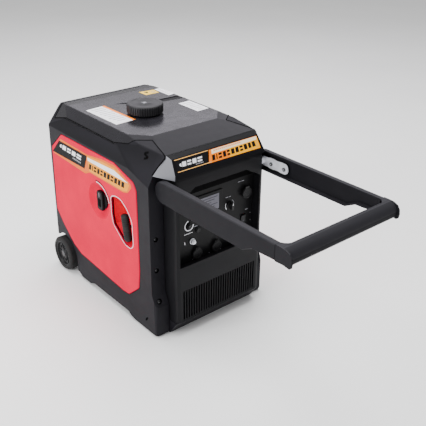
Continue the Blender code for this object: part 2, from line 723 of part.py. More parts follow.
def make_cap_plug():
    profile = [(0.5960, 0.0), (0.5960, 0.0270), (0.5990, 0.0290), (0.6277, 0.0290), (0.6277, 0.0)]
    return lathe("fuel_cap_plug", profile, 2, (CAP_X, CAP_Y), 24)


def make_neck():
    return tube("filler_neck", 2, (CAP_X, CAP_Y), 0.0310, 0.0360, 0.5713, 0.6240, 28)


def make_tank():
    lo = (-0.140, -0.125, 0.452)
    hi = (0.150, 0.165, 0.571)
    tank = soft_box("fuel_tank", lo, hi, 0.016)
    inner = soft_box("tool", [v + 0.003 for v in lo], [v - 0.003 for v in hi], 0.013)
    cut(tank, inner)
    cut(tank, rod("tool", 2, (CAP_X, CAP_Y), 0.0310, 0.55, 0.60, 24))
    return tidy(tank)


# ==============================================================================================
# starter side: switch knob, recoil recess, grip, rope, pulley
# ==============================================================================================
def make_switch_knob():
    floor = -HALF_W - 0.0020 + DISH_DEPTH
    y, z = SWITCH
    grip = [(y - 0.0165, z - 0.0335), (y + 0.0165, z - 0.0335), (y + 0.0165, z + 0.0335), (y - 0.0165, z + 0.0335)]
    knob = prism("engine_switch_knob", rounded_outline(grip, 0.011, 3), 0, -0.2195, floor - 0.0040)
    fuse(knob, rod("tool", 0, SWITCH, 0.0300, floor - 0.0060, floor - FIT, 28))
    fuse(knob, rod("tool", 0, SWITCH, 0.0055, floor - 0.0010, -0.1900, 16))
    return tidy(knob)


def make_recess():
    outer = grown_outline(rounded_outline(RECOIL_HOLE, 0.012), 0.0020)
    inner = grown_outline(rounded_outline(RECOIL_HOLE, 0.012), -0.0005)
    cup = prism("recoil_recess", outer, 0, -HALF_W + SKIN + 0.0008, -0.1700)
    cut(cup, prism("tool", inner, 0, -0.25, -0.1725))
    cut(cup, rod("tool", 0, GRIP, 0.0060, -0.20, -0.15, 12))
    return tidy(cup)


def make_grip():
    """Pull grip: a rounded bar standing in the mouth of the recess."""
    length = 0.0430
    radius = 0.0115
    lean = math.radians(10.0)
    profile = [(-length, 0.0), (-length, 0.0070), (-length + 0.005, 0.0105), (-0.016, radius), (0.016, radius),
               (length - 0.005, 0.0105), (length, 0.0070), (length, 0.0)]
    grip = lathe("recoil_grip", profile, 2, (0.0, 0.0), 16)
    grip.data.transform(Matrix.Diagonal((0.90, 1.15, 1.0, 1.0)))
    grip.data.transform(Matrix.Rotation(-lean, 4, 'X'))
    grip.data.transform(Matrix.Translation((-0.2120, GRIP[0], GRIP[1])))
    fuse(grip, rod("tool", 0, GRIP, 0.0048, -0.2060, -0.1780, 12))
    return tidy(grip)


def rope_path():
    radius = 0.0460
    guide = Vector((GRIP[0], GRIP[1]))
    centre = Vector((CRANK_Y, CRANK_Z))
    gap = guide - centre
    base = math.atan2(gap.y, gap.x)
    swing = math.acos(radius / gap.length)
    touch = base + swing
    leave = centre + Vector((math.cos(touch), math.sin(touch))) * radius
    path = [(-0.1775, guide.x, guide.y), (-0.1640, guide.x, guide.y), (-0.1600, guide.x + 0.002, guide.y - 0.001)]
    along = (leave - guide)
    for t in (0.35, 0.97):
        p = guide + along * t
        path.append((-0.1575, p.x, p.y))
    return path


def make_rope():
    return sweep("recoil_rope", rope_path(), 0.0020, 8)


def make_recoil_housing():
    c = (CRANK_Y, CRANK_Z)
    profile = [(-0.1680, 0.0), (-0.1680, 0.0800), (-0.1420, 0.0800), (-0.1420, 0.0770), (-0.1650, 0.0770),
               (-0.1650, 0.0078), (-0.1430, 0.0078), (-0.1430, 0.0)]
    housing = lathe("recoil_housing", profile, 0, c, 28)
    path = rope_path()
    window = box("tool", (-0.1640, -0.110, 0.205), (-0.1415, -0.030, 0.300))
    cut(housing, window)
    return tidy(housing)


def make_pulley():
    profile = [(-0.1640, 0.0083), (-0.1640, 0.0560), (-0.1615, 0.0560), (-0.1600, 0.0430), (-0.1550, 0.0430),
               (-0.1535, 0.0560), (-0.1510, 0.0560), (-0.1510, 0.0083)]
    return lathe("recoil_pulley", profile, 0, (CRANK_Y, CRANK_Z), 28)


# ==============================================================================================
# engine and electrics
# ==============================================================================================
def make_engine():
    c = (CRANK_Y, CRANK_Z)
    made = []
    shaft = lathe("crankshaft", [(-0.1400, 0.0), (-0.1400, 0.0120), (0.1330, 0.0120), (0.1330, 0.0)], 0, c, 20)
    wheel = [(-0.1380, 0.0123), (-0.1380, 0.0300), (-0.1160, 0.0300), (-0.1160, 0.0750), (-0.1060, 0.0750),
             (-0.1060, 0.0123)]
    fan = lathe("flywheel_fan", wheel, 0, c, 24)
    for i in range(10):
        blade = box("tool", (-0.1360, -0.0018, 0.0270), (-0.1155, 0.0018, 0.0730))
        blade.data.transform(Matrix.Rotation(2 * math.pi * i / 10 + 0.1, 4, 'X'))
        blade.data.transform(Matrix.Translation((0.0, c[0], c[1])))
        fuse(fan, blade)
    case = soft_box("crankcase", (-0.1000, -0.0700, 0.1000), (0.0100, 0.0780, 0.2950), 0.010)
    cut(case, rod("tool", 0, c, 0.0125, -0.2, 0.2, 20))
    barrel = box("cylinder", (-0.0800, 0.0783, 0.1720), (-0.0150, 0.1480, 0.2380))
    for i in range(6):
        y = 0.0860 + 0.0105 * i
        fuse(barrel, box("tool", (-0.0950, y, 0.1560), (0.0000, y + 0.0030, 0.2540)))
    head = soft_box("cylinder_head", (-0.0900, 0.1483, 0.1600), (-0.0050, 0.1980, 0.2500), 0.006)
    made += [shaft, tidy(fan), tidy(case), tidy(barrel), head]
    made.append(tube("alternator_stator", 0, c, 0.0470, 0.0780, 0.0200, 0.1120, 28))
    made.append(tube("alternator_rotor", 0, c, 0.0123, 0.0455, 0.0240, 0.1080, 24))
    muffler = soft_box("muffler", (0.0250, 0.1250, 0.2700), (0.1650, 0.2250, 0.3850), 0.018)
    made.append(muffler)
    bend = [(-0.0200, 0.1730, 0.2505), (-0.0200, 0.1730, 0.2800), (-0.0120, 0.1730, 0.3000), (0.0050, 0.1730, 0.3110),
            (0.0244, 0.1730, 0.3110)]
    made.append(sweep("exhaust_pipe", bend, 0.0110, 12))
    made.append(tube("exhaust_outlet", 1, (0.090, 0.330), 0.0190, 0.0300, 0.2260, 0.3030, 24))
    carb = box("carburettor", (-0.0800, 0.1560, 0.2506), (-0.0430, 0.1900, 0.2900))
    fuse(carb, rod("tool", 2, (-0.0615, 0.173), 0.0130, 0.2890, 0.3190, 16))
    made.append(tidy(carb))
    made.append(soft_box("air_filter_box", (-0.1850, 0.1050, 0.3200), (-0.0350, 0.2300, 0.4150), 0.008))
    made.append(soft_box("battery", (-0.1700, -0.2450, 0.0305), (-0.0250, -0.1650, 0.1300), 0.003))
    made.append(soft_box("engine_mount_front", (-0.0950, -0.0650, 0.0303), (0.0050, -0.0300, 0.0997), 0.003))
    made.append(soft_box("engine_mount_rear", (-0.0950, 0.0350, 0.0303), (0.0050, 0.0700, 0.0997), 0.003))
    inverter = box("inverter_module", (-0.1300, -0.2300, 0.2500), (0.1300, -0.1950, 0.4200))
    for i in range(9):
        z = 0.2550 + 0.0185 * i
        fuse(inverter, box("tool", (-0.1300, -0.1955, z), (0.1300, -0.1750, z + 0.0030)))
    made.append(tidy(inverter))
    return made


def make_controls():
    y0 = PANEL_Y
    made = []
    x0, x1, z0, z1 = DISPLAY
    made.append(box("display_lens", (x0 + FIT, y0 - 0.0030, z0 + FIT), (x1 - FIT, y0 - 0.0010 - FIT, z1 - FIT)))
    knob = lathe("selector_knob", [(y0 - 0.0170, 0.0), (y0 - 0.0170, 0.0095), (y0 - 0.0155, 0.0110), (y0 - 0.0040, 0.0130),
                                   (y0 - FIT, 0.0130), (y0 - FIT, 0.0040), (y0 + 0.0080, 0.0040), (y0 + 0.0080, 0.0)],
                 1, SELECTOR, 24)
    made.append(knob)
    for name, centre, r, out in (("breaker_button", BREAKER, BREAKER_R, 0.0075), ("start_button", STARTER, STARTER_R, 0.0062)):
        profile = [(y0 - out, 0.0), (y0 - out, r - 0.001), (y0 - out + 0.001, r), (y0 + 0.0120, r), (y0 + 0.0120, 0.0)]
        made.append(lathe(name, profile, 1, centre, 20))
    ground = [(y0 - 0.0150, 0.0), (y0 - 0.0150, 0.0035), (y0 - 0.0120, 0.0040), (y0 - 0.0120, 0.0085),
              (y0 - 0.0040, 0.0085), (y0 - 0.0030, 0.0095), (y0 - FIT, 0.0095), (y0 - FIT, 0.0042),
              (y0 + 0.0100, 0.0042), (y0 + 0.0100, 0.0)]
    made.append(lathe("ground_terminal", ground, 1, GROUND, 20))
    rx, rz = ROCKER
    made.append(prism("eco_switch", [(y0 - 0.0052, rz - 0.0125), (y0 - 0.0030, rz), (y0 - 0.0060, rz + 0.0125),
                                     (y0 + 0.0080, rz + 0.0090), (y0 + 0.0080, rz - 0.0090)], 0, rx - 0.0092, rx + 0.0092))
    for name, (x, z) in zip(("socket_lid_left", "socket_lid_middle", "socket_lid_right"), SOCKETS):
        lid = rod(name, 1, (x, z), 0.0168, y0 - 0.0098, y0 - 0.0063, 24)
        fuse(lid, box("tool", (x - 0.0070, y0 - 0.0098, z + 0.0140), (x + 0.0070, y0 - 0.0063, z + 0.0200)))
        made.append(tidy(lid))
    x, z = CONNECTOR
    cap = rod("connector_cap", 1, (x, z), 0.0182, y0 - 0.0125, y0 - 0.0083, 24)
    fuse(cap, box("tool", (x - 0.0080, y0 - 0.0125, z + 0.0150), (x + 0.0080, y0 - 0.0083, z + 0.0215)))
    made.append(tidy(cap))
    return made


# ==============================================================================================
# assembly
# ==============================================================================================
def main():
    clear_scene()
    make_top_cover()
    shell = make_side_shell()
    mirrored(shell, "left_side_shell")
    make_side_panels()
    make_rear_cover()
    make_front_cover()
    make_front_grille()
    make_control_panel()
    make_base_tray()
    make_feet()
    make_wheel()
    make_axle()
    make_arm()
    make_crossbar()
    make_brackets()
    make_pivots()
    make_fuel_cap()
    make_cap_plug()
    make_neck()
    make_tank()
    make_switch_knob()
    make_recess()
    make_grip()
    make_rope()
    make_recoil_housing()
    make_pulley()
    make_engine()
    make_controls()
    low = min(v.co.y for obj in bpy.data.objects for v in obj.data.vertices)
    high = max(v.co.y for obj in bpy.data.objects for v in obj.data.vertices)
    move = Matrix.Translation((0.0, -(low + high) / 2.0, 0.0))
    for obj in bpy.data.objects:
        obj.data.transform(move)
        obj.data.update()


main()
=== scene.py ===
"""Looks of the portable generator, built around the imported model. Metres, +Z up."""
import json
from math import copysign, cos, pi, radians, sin, sqrt

import bmesh
import bpy
from mathutils import Matrix, Vector


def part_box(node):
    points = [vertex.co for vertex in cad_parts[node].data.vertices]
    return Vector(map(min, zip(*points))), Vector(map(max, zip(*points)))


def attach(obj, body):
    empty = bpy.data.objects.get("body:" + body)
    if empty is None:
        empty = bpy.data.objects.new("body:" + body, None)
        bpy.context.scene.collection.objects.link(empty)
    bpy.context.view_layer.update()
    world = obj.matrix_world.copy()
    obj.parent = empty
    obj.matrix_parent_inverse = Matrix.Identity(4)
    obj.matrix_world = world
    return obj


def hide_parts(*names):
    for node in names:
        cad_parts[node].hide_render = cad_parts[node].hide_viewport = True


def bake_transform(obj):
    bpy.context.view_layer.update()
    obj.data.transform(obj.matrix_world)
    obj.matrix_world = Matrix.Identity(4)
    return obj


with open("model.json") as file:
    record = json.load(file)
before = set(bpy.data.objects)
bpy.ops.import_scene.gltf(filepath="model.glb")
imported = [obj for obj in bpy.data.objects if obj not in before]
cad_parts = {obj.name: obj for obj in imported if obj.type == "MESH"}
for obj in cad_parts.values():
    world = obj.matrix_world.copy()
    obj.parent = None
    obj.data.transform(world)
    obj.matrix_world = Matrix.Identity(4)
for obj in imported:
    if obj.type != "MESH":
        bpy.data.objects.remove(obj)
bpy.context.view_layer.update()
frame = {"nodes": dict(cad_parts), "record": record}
NODES = frame["nodes"]

# ---- places taken from the frame ----
BODY_OF = {}
for body_name, members in frame["record"]["behaviour"]["bodies"].items():
    for member in members:
        BODY_OF[member] = body_name


def middle(node):
    low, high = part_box(node)
    return (low + high) / 2.0


SHIFT = middle("right_wheel_tyre").y - 0.243       # the casing's own middle along Y
WALL_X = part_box("right_side_shell")[1].x
RED_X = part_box("right_side_panel")[1].x
DECK_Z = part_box("top_cover")[1].z
PANEL_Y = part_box("selector_knob")[0].y + 0.017
CAP = middle("fuel_cap")
CAP_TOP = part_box("fuel_cap")[1].z


def at(x, y, z):
    """Point given from the casing's own middle."""
    return Vector((x, y + SHIFT, z))


# ---- shader kit ----
class Shader:
    """One procedural material, built node by node."""

    def __init__(self, name):
        self.mat = bpy.data.materials.new(name)
        self.mat.use_nodes = True
        self.tree = self.mat.node_tree
        self.bsdf = self.tree.nodes["Principled BSDF"]
        self.coord = self.tree.nodes.new("ShaderNodeTexCoord")

    def feed(self, socket, value):
        """Give a socket a link, a colour or a number."""
        if isinstance(value, bpy.types.NodeSocket):
            self.tree.links.new(value, socket)
        elif socket.type == 'RGBA':
            socket.default_value = (*value, 1.0)
        else:
            socket.default_value = value

    def add(self, kind, output, inputs, **settings):
        """New node with its inputs fed and its settings made; returns one of its outputs."""
        made = self.tree.nodes.new(kind)
        for key, value in settings.items():
            setattr(made, key, value)
        for key, value in inputs.items():
            self.feed(made.inputs[key], value)
        return made.outputs[output]

    def noise(self, scale, detail=3.0, rough=0.55, stretch=(1, 1, 1)):
        inputs = {"Vector": self.coord.outputs["Object"], "Scale": stretch}
        spot = self.add("ShaderNodeMapping", "Vector", inputs)
        inputs = {"Vector": spot, "Scale": scale, "Detail": detail, "Roughness": rough}
        return self.add("ShaderNodeTexNoise", "Fac", inputs)

    def ramp(self, value, stops):
        """Two colours, each at its place along the value."""
        made = self.tree.nodes.new("ShaderNodeValToRGB")
        for element, (place, colour) in zip(made.color_ramp.elements, stops):
            element.position = place
            element.color = (*colour, 1.0)
        self.feed(made.inputs["Fac"], value)
        return made.outputs["Color"]

    def spread(self, value, low, high, new_low, new_high):
        inputs = {"Value": value, "From Min": low, "From Max": high, "To Min": new_low, "To Max": new_high}
        return self.add("ShaderNodeMapRange", "Result", inputs)

    def mix(self, fac, a, b):
        """Blend of two colours; the mix node's colour sockets are found by number."""
        return self.add("ShaderNodeMix", 2, {0: fac, 6: a, 7: b}, data_type='RGBA')

    def bump(self, height, distance, strength, **under):
        inputs = {"Height": height, "Distance": distance, "Strength": strength}
        return self.add("ShaderNodeBump", "Normal", {**inputs, **under})

    def put(self, **values):
        for key, value in values.items():
            self.feed(self.bsdf.inputs[key.replace("_", " ")], value)
        return self.mat


FLAT_POINTINESS = 0.53
EDGE_POINTINESS = 0.62


def edge_highlight_mask(s, strength):
    """Painted highlight mask: from 0 on flat faces to the given strength on outer edges."""
    pointiness = s.add("ShaderNodeNewGeometry", "Pointiness", {})
    return s.spread(pointiness, FLAT_POINTINESS, EDGE_POINTINESS, 0.0, strength)


def tinted(colour, k):
    """The colour made k times as bright."""
    return tuple(min(1.0, c * k) for c in colour)


def moulded(name, colour, rough=0.5, grain=900.0, depth=0.00004, edge_highlight=0.35, spec=0.5, relief=0.6):
    """Injection-moulded plastic: fine spark texture, faint cloudiness, and outer edges lightened as a
    painted highlight.
    """
    s = Shader(name)
    cloud = s.noise(9.0, 4.0)
    fine = s.noise(grain, 2.0)
    base = s.ramp(cloud, [(0.3, tinted(colour, 0.88)), (0.7, tinted(colour, 1.12))])
    speck = s.ramp(fine, [(0.35, tinted(colour, 0.8)), (0.7, tinted(colour, 1.2))])
    base = s.mix(0.35, base, speck)
    # painted highlight: outer edges lightened to twice the colour, for light caught on the rounded edges
    base = s.mix(edge_highlight_mask(s, edge_highlight), base, tinted(colour, 2.0))
    rough_map = s.spread(s.noise(30.0, 5.0), 0.3, 0.7, rough - 0.03, rough + 0.03)
    normal = s.bump(fine, depth, relief)
    normal = s.bump(s.noise(7.0, 1.0), 0.0004, 0.03, Normal=normal)
    return s.put(Base_Color=base, Roughness=rough_map, Normal=normal, Specular_IOR_Level=spec)


def metal(name, colour, rough=0.35, streak=True, dull=0.2, milky=0.0):
    """Plated or machined metal with fine directional scratches and a little tarnish."""
    s = Shader(name)
    lines = s.noise(140.0, 3.0, stretch=(1.0, 0.08, 1.0) if streak else (1, 1, 1))
    stain = s.noise(26.0, 4.0)
    base = s.ramp(stain, [(0.35, tinted(colour, 1.0 - dull)), (0.65, colour)])
    rough_map = s.spread(lines, 0.3, 0.7, rough - 0.08, rough + 0.12)
    normal = s.bump(lines, 0.00006, 0.5)
    return s.put(Base_Color=base, Roughness=rough_map, Normal=normal, Metallic=1.0 - milky)


def rubbery(name, colour, rough=0.75):
    s = Shader(name)
    dust = s.noise(40.0, 5.0)
    fine = s.noise(700.0, 2.0)
    base = s.ramp(dust, [(0.35, tinted(colour, 0.8)), (0.75, tinted(colour, 1.5))])
    rough_map = s.spread(dust, 0.3, 0.7, rough - 0.08, min(0.98, rough + 0.08))
    return s.put(Base_Color=base, Roughness=rough_map, Normal=s.bump(fine, 0.00008, 0.6),
                 Specular_IOR_Level=0.35)


def printed(name, colour, rough=0.35, vary=0.05):
    """Printed vinyl: flat ink under a thin satin film, with faint dye variation and dust."""
    s = Shader(name)
    ink = s.noise(60.0, 3.0)
    base = s.ramp(ink, [(0.3, tinted(colour, 1.0 - vary)), (0.7, tinted(colour, 1.0 + vary))])
    rough_map = s.spread(s.noise(90.0, 4.0), 0.3, 0.7, rough - 0.05, rough + 0.08)
    return s.put(Base_Color=base, Roughness=rough_map, Normal=s.bump(s.noise(400.0, 2.0), 0.00003, 0.4),
                 Specular_IOR_Level=0.1)


CHARCOAL = (0.0079, 0.0075, 0.0095)
FRONT = (0.0056, 0.0055, 0.0066)
M = {
    "shell": moulded("shell_plastic", CHARCOAL, 0.48, 1100.0, edge_highlight=0.45, spec=0.08),
    "top": moulded("top_plastic", (0.0098, 0.0092, 0.0116), 0.27, 300.0, 0.00001, spec=0.27, relief=0.02),
    # painted shade: a darker, less glossy copy of the top plastic for the brow's slopes
    "brow": moulded("brow_painted_shade", (0.0088, 0.0084, 0.0104), 0.38, 300.0, 0.00001, spec=0.12, relief=0.02),
    "visor": moulded("visor_plastic", (0.0042, 0.0041, 0.0052), 0.5, 1100.0, spec=0.08),
    "front": moulded("front_plastic", FRONT, 0.5, 1100.0, spec=0.12),
    "cheek": moulded("cheek_plastic", (0.135, 0.137, 0.154), 0.42, 1100.0, spec=0.3),
    "panel": moulded("panel_plastic", (0.005, 0.005, 0.0055), 0.42, 900.0, spec=0.12),
    "black": moulded("black_plastic", (0.0045, 0.0045, 0.005), 0.36, 700.0, spec=0.3),
    "knob": moulded("switch_plastic", (0.0046, 0.0045, 0.0052), 0.5, 700.0, spec=0.12),
    "lid": moulded("lid_plastic", (0.0085, 0.0084, 0.0092), 0.45, 700.0, spec=0.16),
    # painted shade: near-black material for the shade in holes, slots, wells, grooves and parting lines
    "painted_shade": moulded("deep_shadow", (0.0012, 0.0012, 0.0013), 0.8, 700.0, spec=0.05),
    "handle": moulded("handle_sleeve", (0.009, 0.0087, 0.0108), 0.55, 700.0, 0.00008, spec=0.08),
    # painted highlight: a paler copy of the handle plastic for the sleeves' upper corners
    "handle_top_highlight": moulded("handle_top_highlight", (0.0185, 0.018, 0.0215), 0.5, 700.0, 0.00008, spec=0.1),
    "red": moulded("red_plastic", (0.67, 0.0004, 0.04), 0.55, 1000.0, 0.00002, edge_highlight=0.0, spec=0.03),
    "red_deep": moulded("red_recess", (0.87, 0.0005, 0.046), 0.45, 1000.0, 0.00002, edge_highlight=0.0, spec=0.06),
    "tyre": rubbery("tyre_rubber", (0.01, 0.01, 0.0105), 0.78),
    "grip": rubbery("grip_rubber", (0.0046, 0.0046, 0.0048), 0.7),
    "rubber": rubbery("soft_rubber", (0.0075, 0.0075, 0.0075), 0.8),
    "hub": moulded("hub_plastic", (0.012, 0.012, 0.013), 0.42, 500.0, spec=0.25),
    "cap": moulded("cap_plastic", (0.0185, 0.018, 0.02), 0.4, 800.0, 0.00001, spec=0.24),
    "zinc": metal("zinc_plate", (0.9, 0.91, 0.97), 0.4, milky=0.5),
    "steel": metal("turned_steel", (0.55, 0.55, 0.57), 0.28),
    "dark_steel": metal("dark_steel", (0.1, 0.1, 0.105), 0.45),
    "cast": metal("cast_aluminium", (0.62, 0.62, 0.63), 0.55, streak=False),
    "iron": metal("stacked_iron", (0.3, 0.3, 0.31), 0.5),
    "copper": metal("wound_copper", (0.62, 0.3, 0.14), 0.35),
    "tank": moulded("tank_plastic", (0.06, 0.06, 0.065), 0.5, 400.0),
    "white": printed("white_print", (0.88, 0.88, 0.92)),
    "dim_white": printed("dim_print", (0.26, 0.26, 0.285)),
    "blush": printed("blush_print", (0.85, 0.6, 0.66)),
    "ink": printed("black_print", (0.006, 0.006, 0.0072)),
    "side_ink": printed("side_ink_print", (0.003, 0.0028, 0.0036), 0.55),
    "gold": printed("gold_print", (0.97, 0.43, 0.004)),
    "amber": printed("amber_print", (0.95, 0.22, 0.003)),
    "side_gold": printed("side_gold_print", (0.8, 0.29, 0.0015)),
    "side_amber": printed("side_amber_print", (0.72, 0.135, 0.0015)),
    "peach": printed("peach_print", (0.95, 0.52, 0.16)),
    "cream": printed("cream_print", (0.98, 0.82, 0.58)),
    "yellow": printed("yellow_print", (0.85, 0.55, 0.05)),
    "lcd": printed("lcd_glass", (0.15, 0.147, 0.175), 0.2),
    "lcd_dark": printed("lcd_segments", (0.07, 0.068, 0.082), 0.25),
    "rope": rubbery("rope_braid", (0.3, 0.28, 0.25), 0.8),
}


# ---- mesh kit ----
BEVEL_FROM = radians(28.0)


def settle(obj, angle=32.0):
    """Smooth shading that keeps real edges crisp."""
    mesh = obj.data
    for poly in mesh.polygons:
        poly.use_smooth = True
    mesh.set_sharp_from_angle(angle=radians(angle))
    return obj


def link_new(name, data):
    obj = bpy.data.objects.new(name, data)
    bpy.context.scene.collection.objects.link(obj)
    return obj


def as_object(bm, name, keys):
    """Closed solids with their faces turned outwards, as a new object in the scene."""
    bmesh.ops.recalc_face_normals(bm, faces=bm.faces)
    mesh = bpy.data.meshes.new(name)
    bm.to_mesh(mesh)
    bm.free()
    for key in keys:
        mesh.materials.append(M[key])
    return link_new(name, mesh)


def bake(obj):
    """Apply every modifier of a piece that has just been made."""
    graph = bpy.context.evaluated_depsgraph_get()
    bpy.context.view_layer.update()
    mesh = bpy.data.meshes.new_from_object(obj.evaluated_get(graph))
    obj.modifiers.clear()
    obj.data = mesh
    return obj


def joined_faces(node):
    """The CAD node's mesh with its flat faces joined up again."""
    bm = bmesh.new()
    bm.from_mesh(NODES[node].data)
    bmesh.ops.remove_doubles(bm, verts=bm.verts, dist=2e-6)
    bmesh.ops.dissolve_limit(bm, angle_limit=radians(0.6), verts=bm.verts, edges=bm.edges)
    return bm


def soften(node, key, width=0.0012, wells=None, paint=()):
    """Stand-in for a CAD node with the same shape and small rounded edges.

    wells is a Batch of solids taken out of it; paint gives (test, material key) pairs for single faces.
    """
    mesh = bpy.data.meshes.new(node + "_soft")
    bm = joined_faces(node)
    bm.to_mesh(mesh)
    bm.free()
    mesh.materials.append(M[key])
    for test, extra in paint:
        mesh.materials.append(M[extra])
        for poly in mesh.polygons:
            if test(poly.normal, poly.center):
                poly.material_index = len(mesh.materials) - 1
    obj = link_new(node + "_soft", mesh)
    if wells is not None:
        tool = wells.loose("tool")
        carve = obj.modifiers.new("wells", 'BOOLEAN')
        carve.operation = 'DIFFERENCE'
        carve.solver = 'EXACT'
        carve.material_mode = 'TRANSFER'
        carve.use_self = True
        carve.object = tool
        bake(obj)
        bpy.data.objects.remove(tool, do_unlink=True)
    bevel = obj.modifiers.new("edges", 'BEVEL')
    bevel.width = width
    bevel.segments = 2
    bevel.limit_method = 'ANGLE'
    bevel.angle_limit = BEVEL_FROM
    bevel.use_clamp_overlap = True
    bake(obj)
    settle(obj, 50.0)
    weigh = obj.modifiers.new("flat faces stay flat", 'WEIGHTED_NORMAL')
    weigh.mode = 'FACE_AREA'
    weigh.weight = 100
    weigh.keep_sharp = True
    bake(obj)
    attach(obj, BODY_OF[node])
    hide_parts(node)
    return obj


def spokes(count, start=0.0):
    """Unit directions spread evenly round a circle."""
    for k in range(count):
        ang = start + 2.0 * pi * k / count
        yield Vector((cos(ang), sin(ang)))


POINT = 0.00002                 # radius that stands for the tip of a turned solid


class Batch:
    """Collects closed solids of several materials and turns them into one piece."""

    def __init__(self):
        self.bm = bmesh.new()
        self.keys = []

    def index(self, key):
        if key not in self.keys:
            self.keys.append(key)
        return self.keys.index(key)

    def loft(self, rings, key, closed=False):
        made = [[self.bm.verts.new(p) for p in ring] for ring in rings]
        count = len(made[0])
        faces = []
        pairs = list(zip(made[:-1], made[1:]))
        if closed:
            pairs.append((made[-1], made[0]))
        else:
            faces += [self.bm.faces.new(made[0]), self.bm.faces.new(made[-1])]
        for low, high in pairs:
            for i in range(count):
                j = (i + 1) % count
                faces.append(self.bm.faces.new((low[i], low[j], high[j], high[i])))
        slot = self.index(key)
        for face in faces:
            face.material_index = slot
        return self

    def slab(self, place, points, low, high, key, edge=0.0):
        """Flat solid on a surface: outline in the surface's own axes, height measured off it."""
        rings = [[place(a, b, height) for a, b in points] for height in (low, high - edge)]
        if edge:
            rings.append([place(a, b, high) for a, b in grown(points, -edge)])
        return self.loft(rings, key)

    def frame(self, place, inner, outer, low, high, key):
        """Flat ring between two outlines with the same number of corners."""
        rings = [[place(a, b, low) for a, b in inner], [place(a, b, low) for a, b in outer],
                 [place(a, b, high) for a, b in outer], [place(a, b, high) for a, b in inner]]
        return self.loft(rings, key, closed=True)

    def lathe(self, place, centre, profile, key, count=32):
        """Turned solid standing on a surface; profile is (height, radius) pairs."""
        rings = []
        for height, radius in profile:
            reach = max(radius, POINT)
            spots = [(centre[0] + reach * u.x, centre[1] + reach * u.y) for u in spokes(count)]
            rings.append([place(a, b, height) for a, b in spots])
        return self.loft(rings, key)

    def loft_ring(self, place, profile, key, count=48):
        """Turned solid with a hole through it: the closed profile is carried round the axis."""
        rings = [[place(r * u.x, r * u.y, h) for h, r in profile] for u in spokes(count)]
        return self.loft(rings, key, closed=True)

    def tube(self, path, radius, key, sides=8):
        rings = []
        for i, point in enumerate(path):
            ahead = path[min(i + 1, len(path) - 1)] - path[max(i - 1, 0)]
            turn = ahead.to_track_quat('Z', 'Y')
            rings.append([point + turn @ (u.to_3d() * radius) for u in spokes(sides)])
        return self.loft(rings, key)

    def loose(self, name):
        """The solids as a bare object, to be used up as a cutting tool."""
        return as_object(self.bm, name, self.keys)

    def done(self, name, body, smooth=32.0, stands_for=()):
        obj = as_object(self.bm, name, self.keys)
        if smooth:
            settle(obj, smooth)
        if body:
            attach(obj, body)
        if stands_for:
            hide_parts(*stands_for)
        return obj


def grown(points, amount):
    """Offset a closed outline outwards (or inwards when negative)."""
    area = sum(a[0] * b[1] - b[0] * a[1] for a, b in zip(points, points[1:] + points[:1]))
    side = 1.0 if area > 0 else -1.0
    made = []
    count = len(points)
    for i in range(count):
        before = Vector(points[i - 1])
        here = Vector(points[i])
        after = Vector(points[(i + 1) % count])
        u = (here - before).normalized()
        v = (after - here).normalized()
        n1 = Vector((u.y, -u.x)) * side
        n2 = Vector((v.y, -v.x)) * side
        mid = n1 + n2
        mid = mid / max(0.3, 1.0 + n1.dot(n2))
        made.append(tuple(here + mid * amount))
    return made


def rounded(points, radius, steps=4):
    """Outline with its corners turned into arcs."""
    made = []
    count = len(points)
    for i in range(count):
        before = Vector(points[i - 1])
        here = Vector(points[i])
        after = Vector(points[(i + 1) % count])
        u = (before - here).normalized()
        v = (after - here).normalized()
        reach = min(radius, 0.45 * (before - here).length, 0.45 * (after - here).length)
        for k in range(steps + 1):
            t = k / steps
            spot = here + u * reach * (1 - t) ** 2 + v * reach * t ** 2
            made.append(tuple(spot))
    return made


def oblong(x, z, half_x, half_z, radius=0.001, steps=3):
    """Rounded rectangle about a centre."""
    corners = []
    for side, end in ((-1, -1), (1, -1), (1, 1), (-1, 1)):
        corners.append((x + side * half_x, z + end * half_z))
    return rounded(corners, radius, steps)


def puck(low, high, radius, top_radius=None):
    """Lathe profile of a plain disc, straight or slightly tapered."""
    return [(low, 0.0), (low, radius), (high, top_radius or radius), (high, 0.0)]


def mirrored(half):
    """Lathe profile from one half of it, which starts in the middle."""
    return [(-height, radius) for height, radius in reversed(half)] + half[1:]


# ---- surfaces: each maps its own two axes and a height off the surface to a point ----
def side_wall(side, x):
    """Axes on a flat side of the casing: along Y, up, and out from it."""
    return lambda y, z, height: at(side * (x + height), y, z)


left_face = side_wall(-1, RED_X)
right_face = side_wall(1, RED_X)
left_shell = side_wall(-1, WALL_X)
right_shell = side_wall(1, WALL_X)


def deck(x, y, height):
    return at(x, y, DECK_Z + height)


def panel(x, z, height):
    return at(x, PANEL_Y - SHIFT - height, z)


def on_slope(top, low, x, z, height):
    """Point at level z on the slope between two (y, z) corners, raised off it by height."""
    slope = top - low
    spot = low + slope * ((z - low.y) / slope.y)
    spot += Vector((-slope.y, slope.x)).normalized() * height
    return at(x, spot.x, spot.y)


# The brow's front slope, from its upper to its lower edge, as (y, z).
VISOR_TOP = Vector((-0.3165, 0.583))
VISOR_LOW = Vector((-0.34, 0.544))


def visor(x, z, height):
    return on_slope(VISOR_TOP, VISOR_LOW, x, z, height)


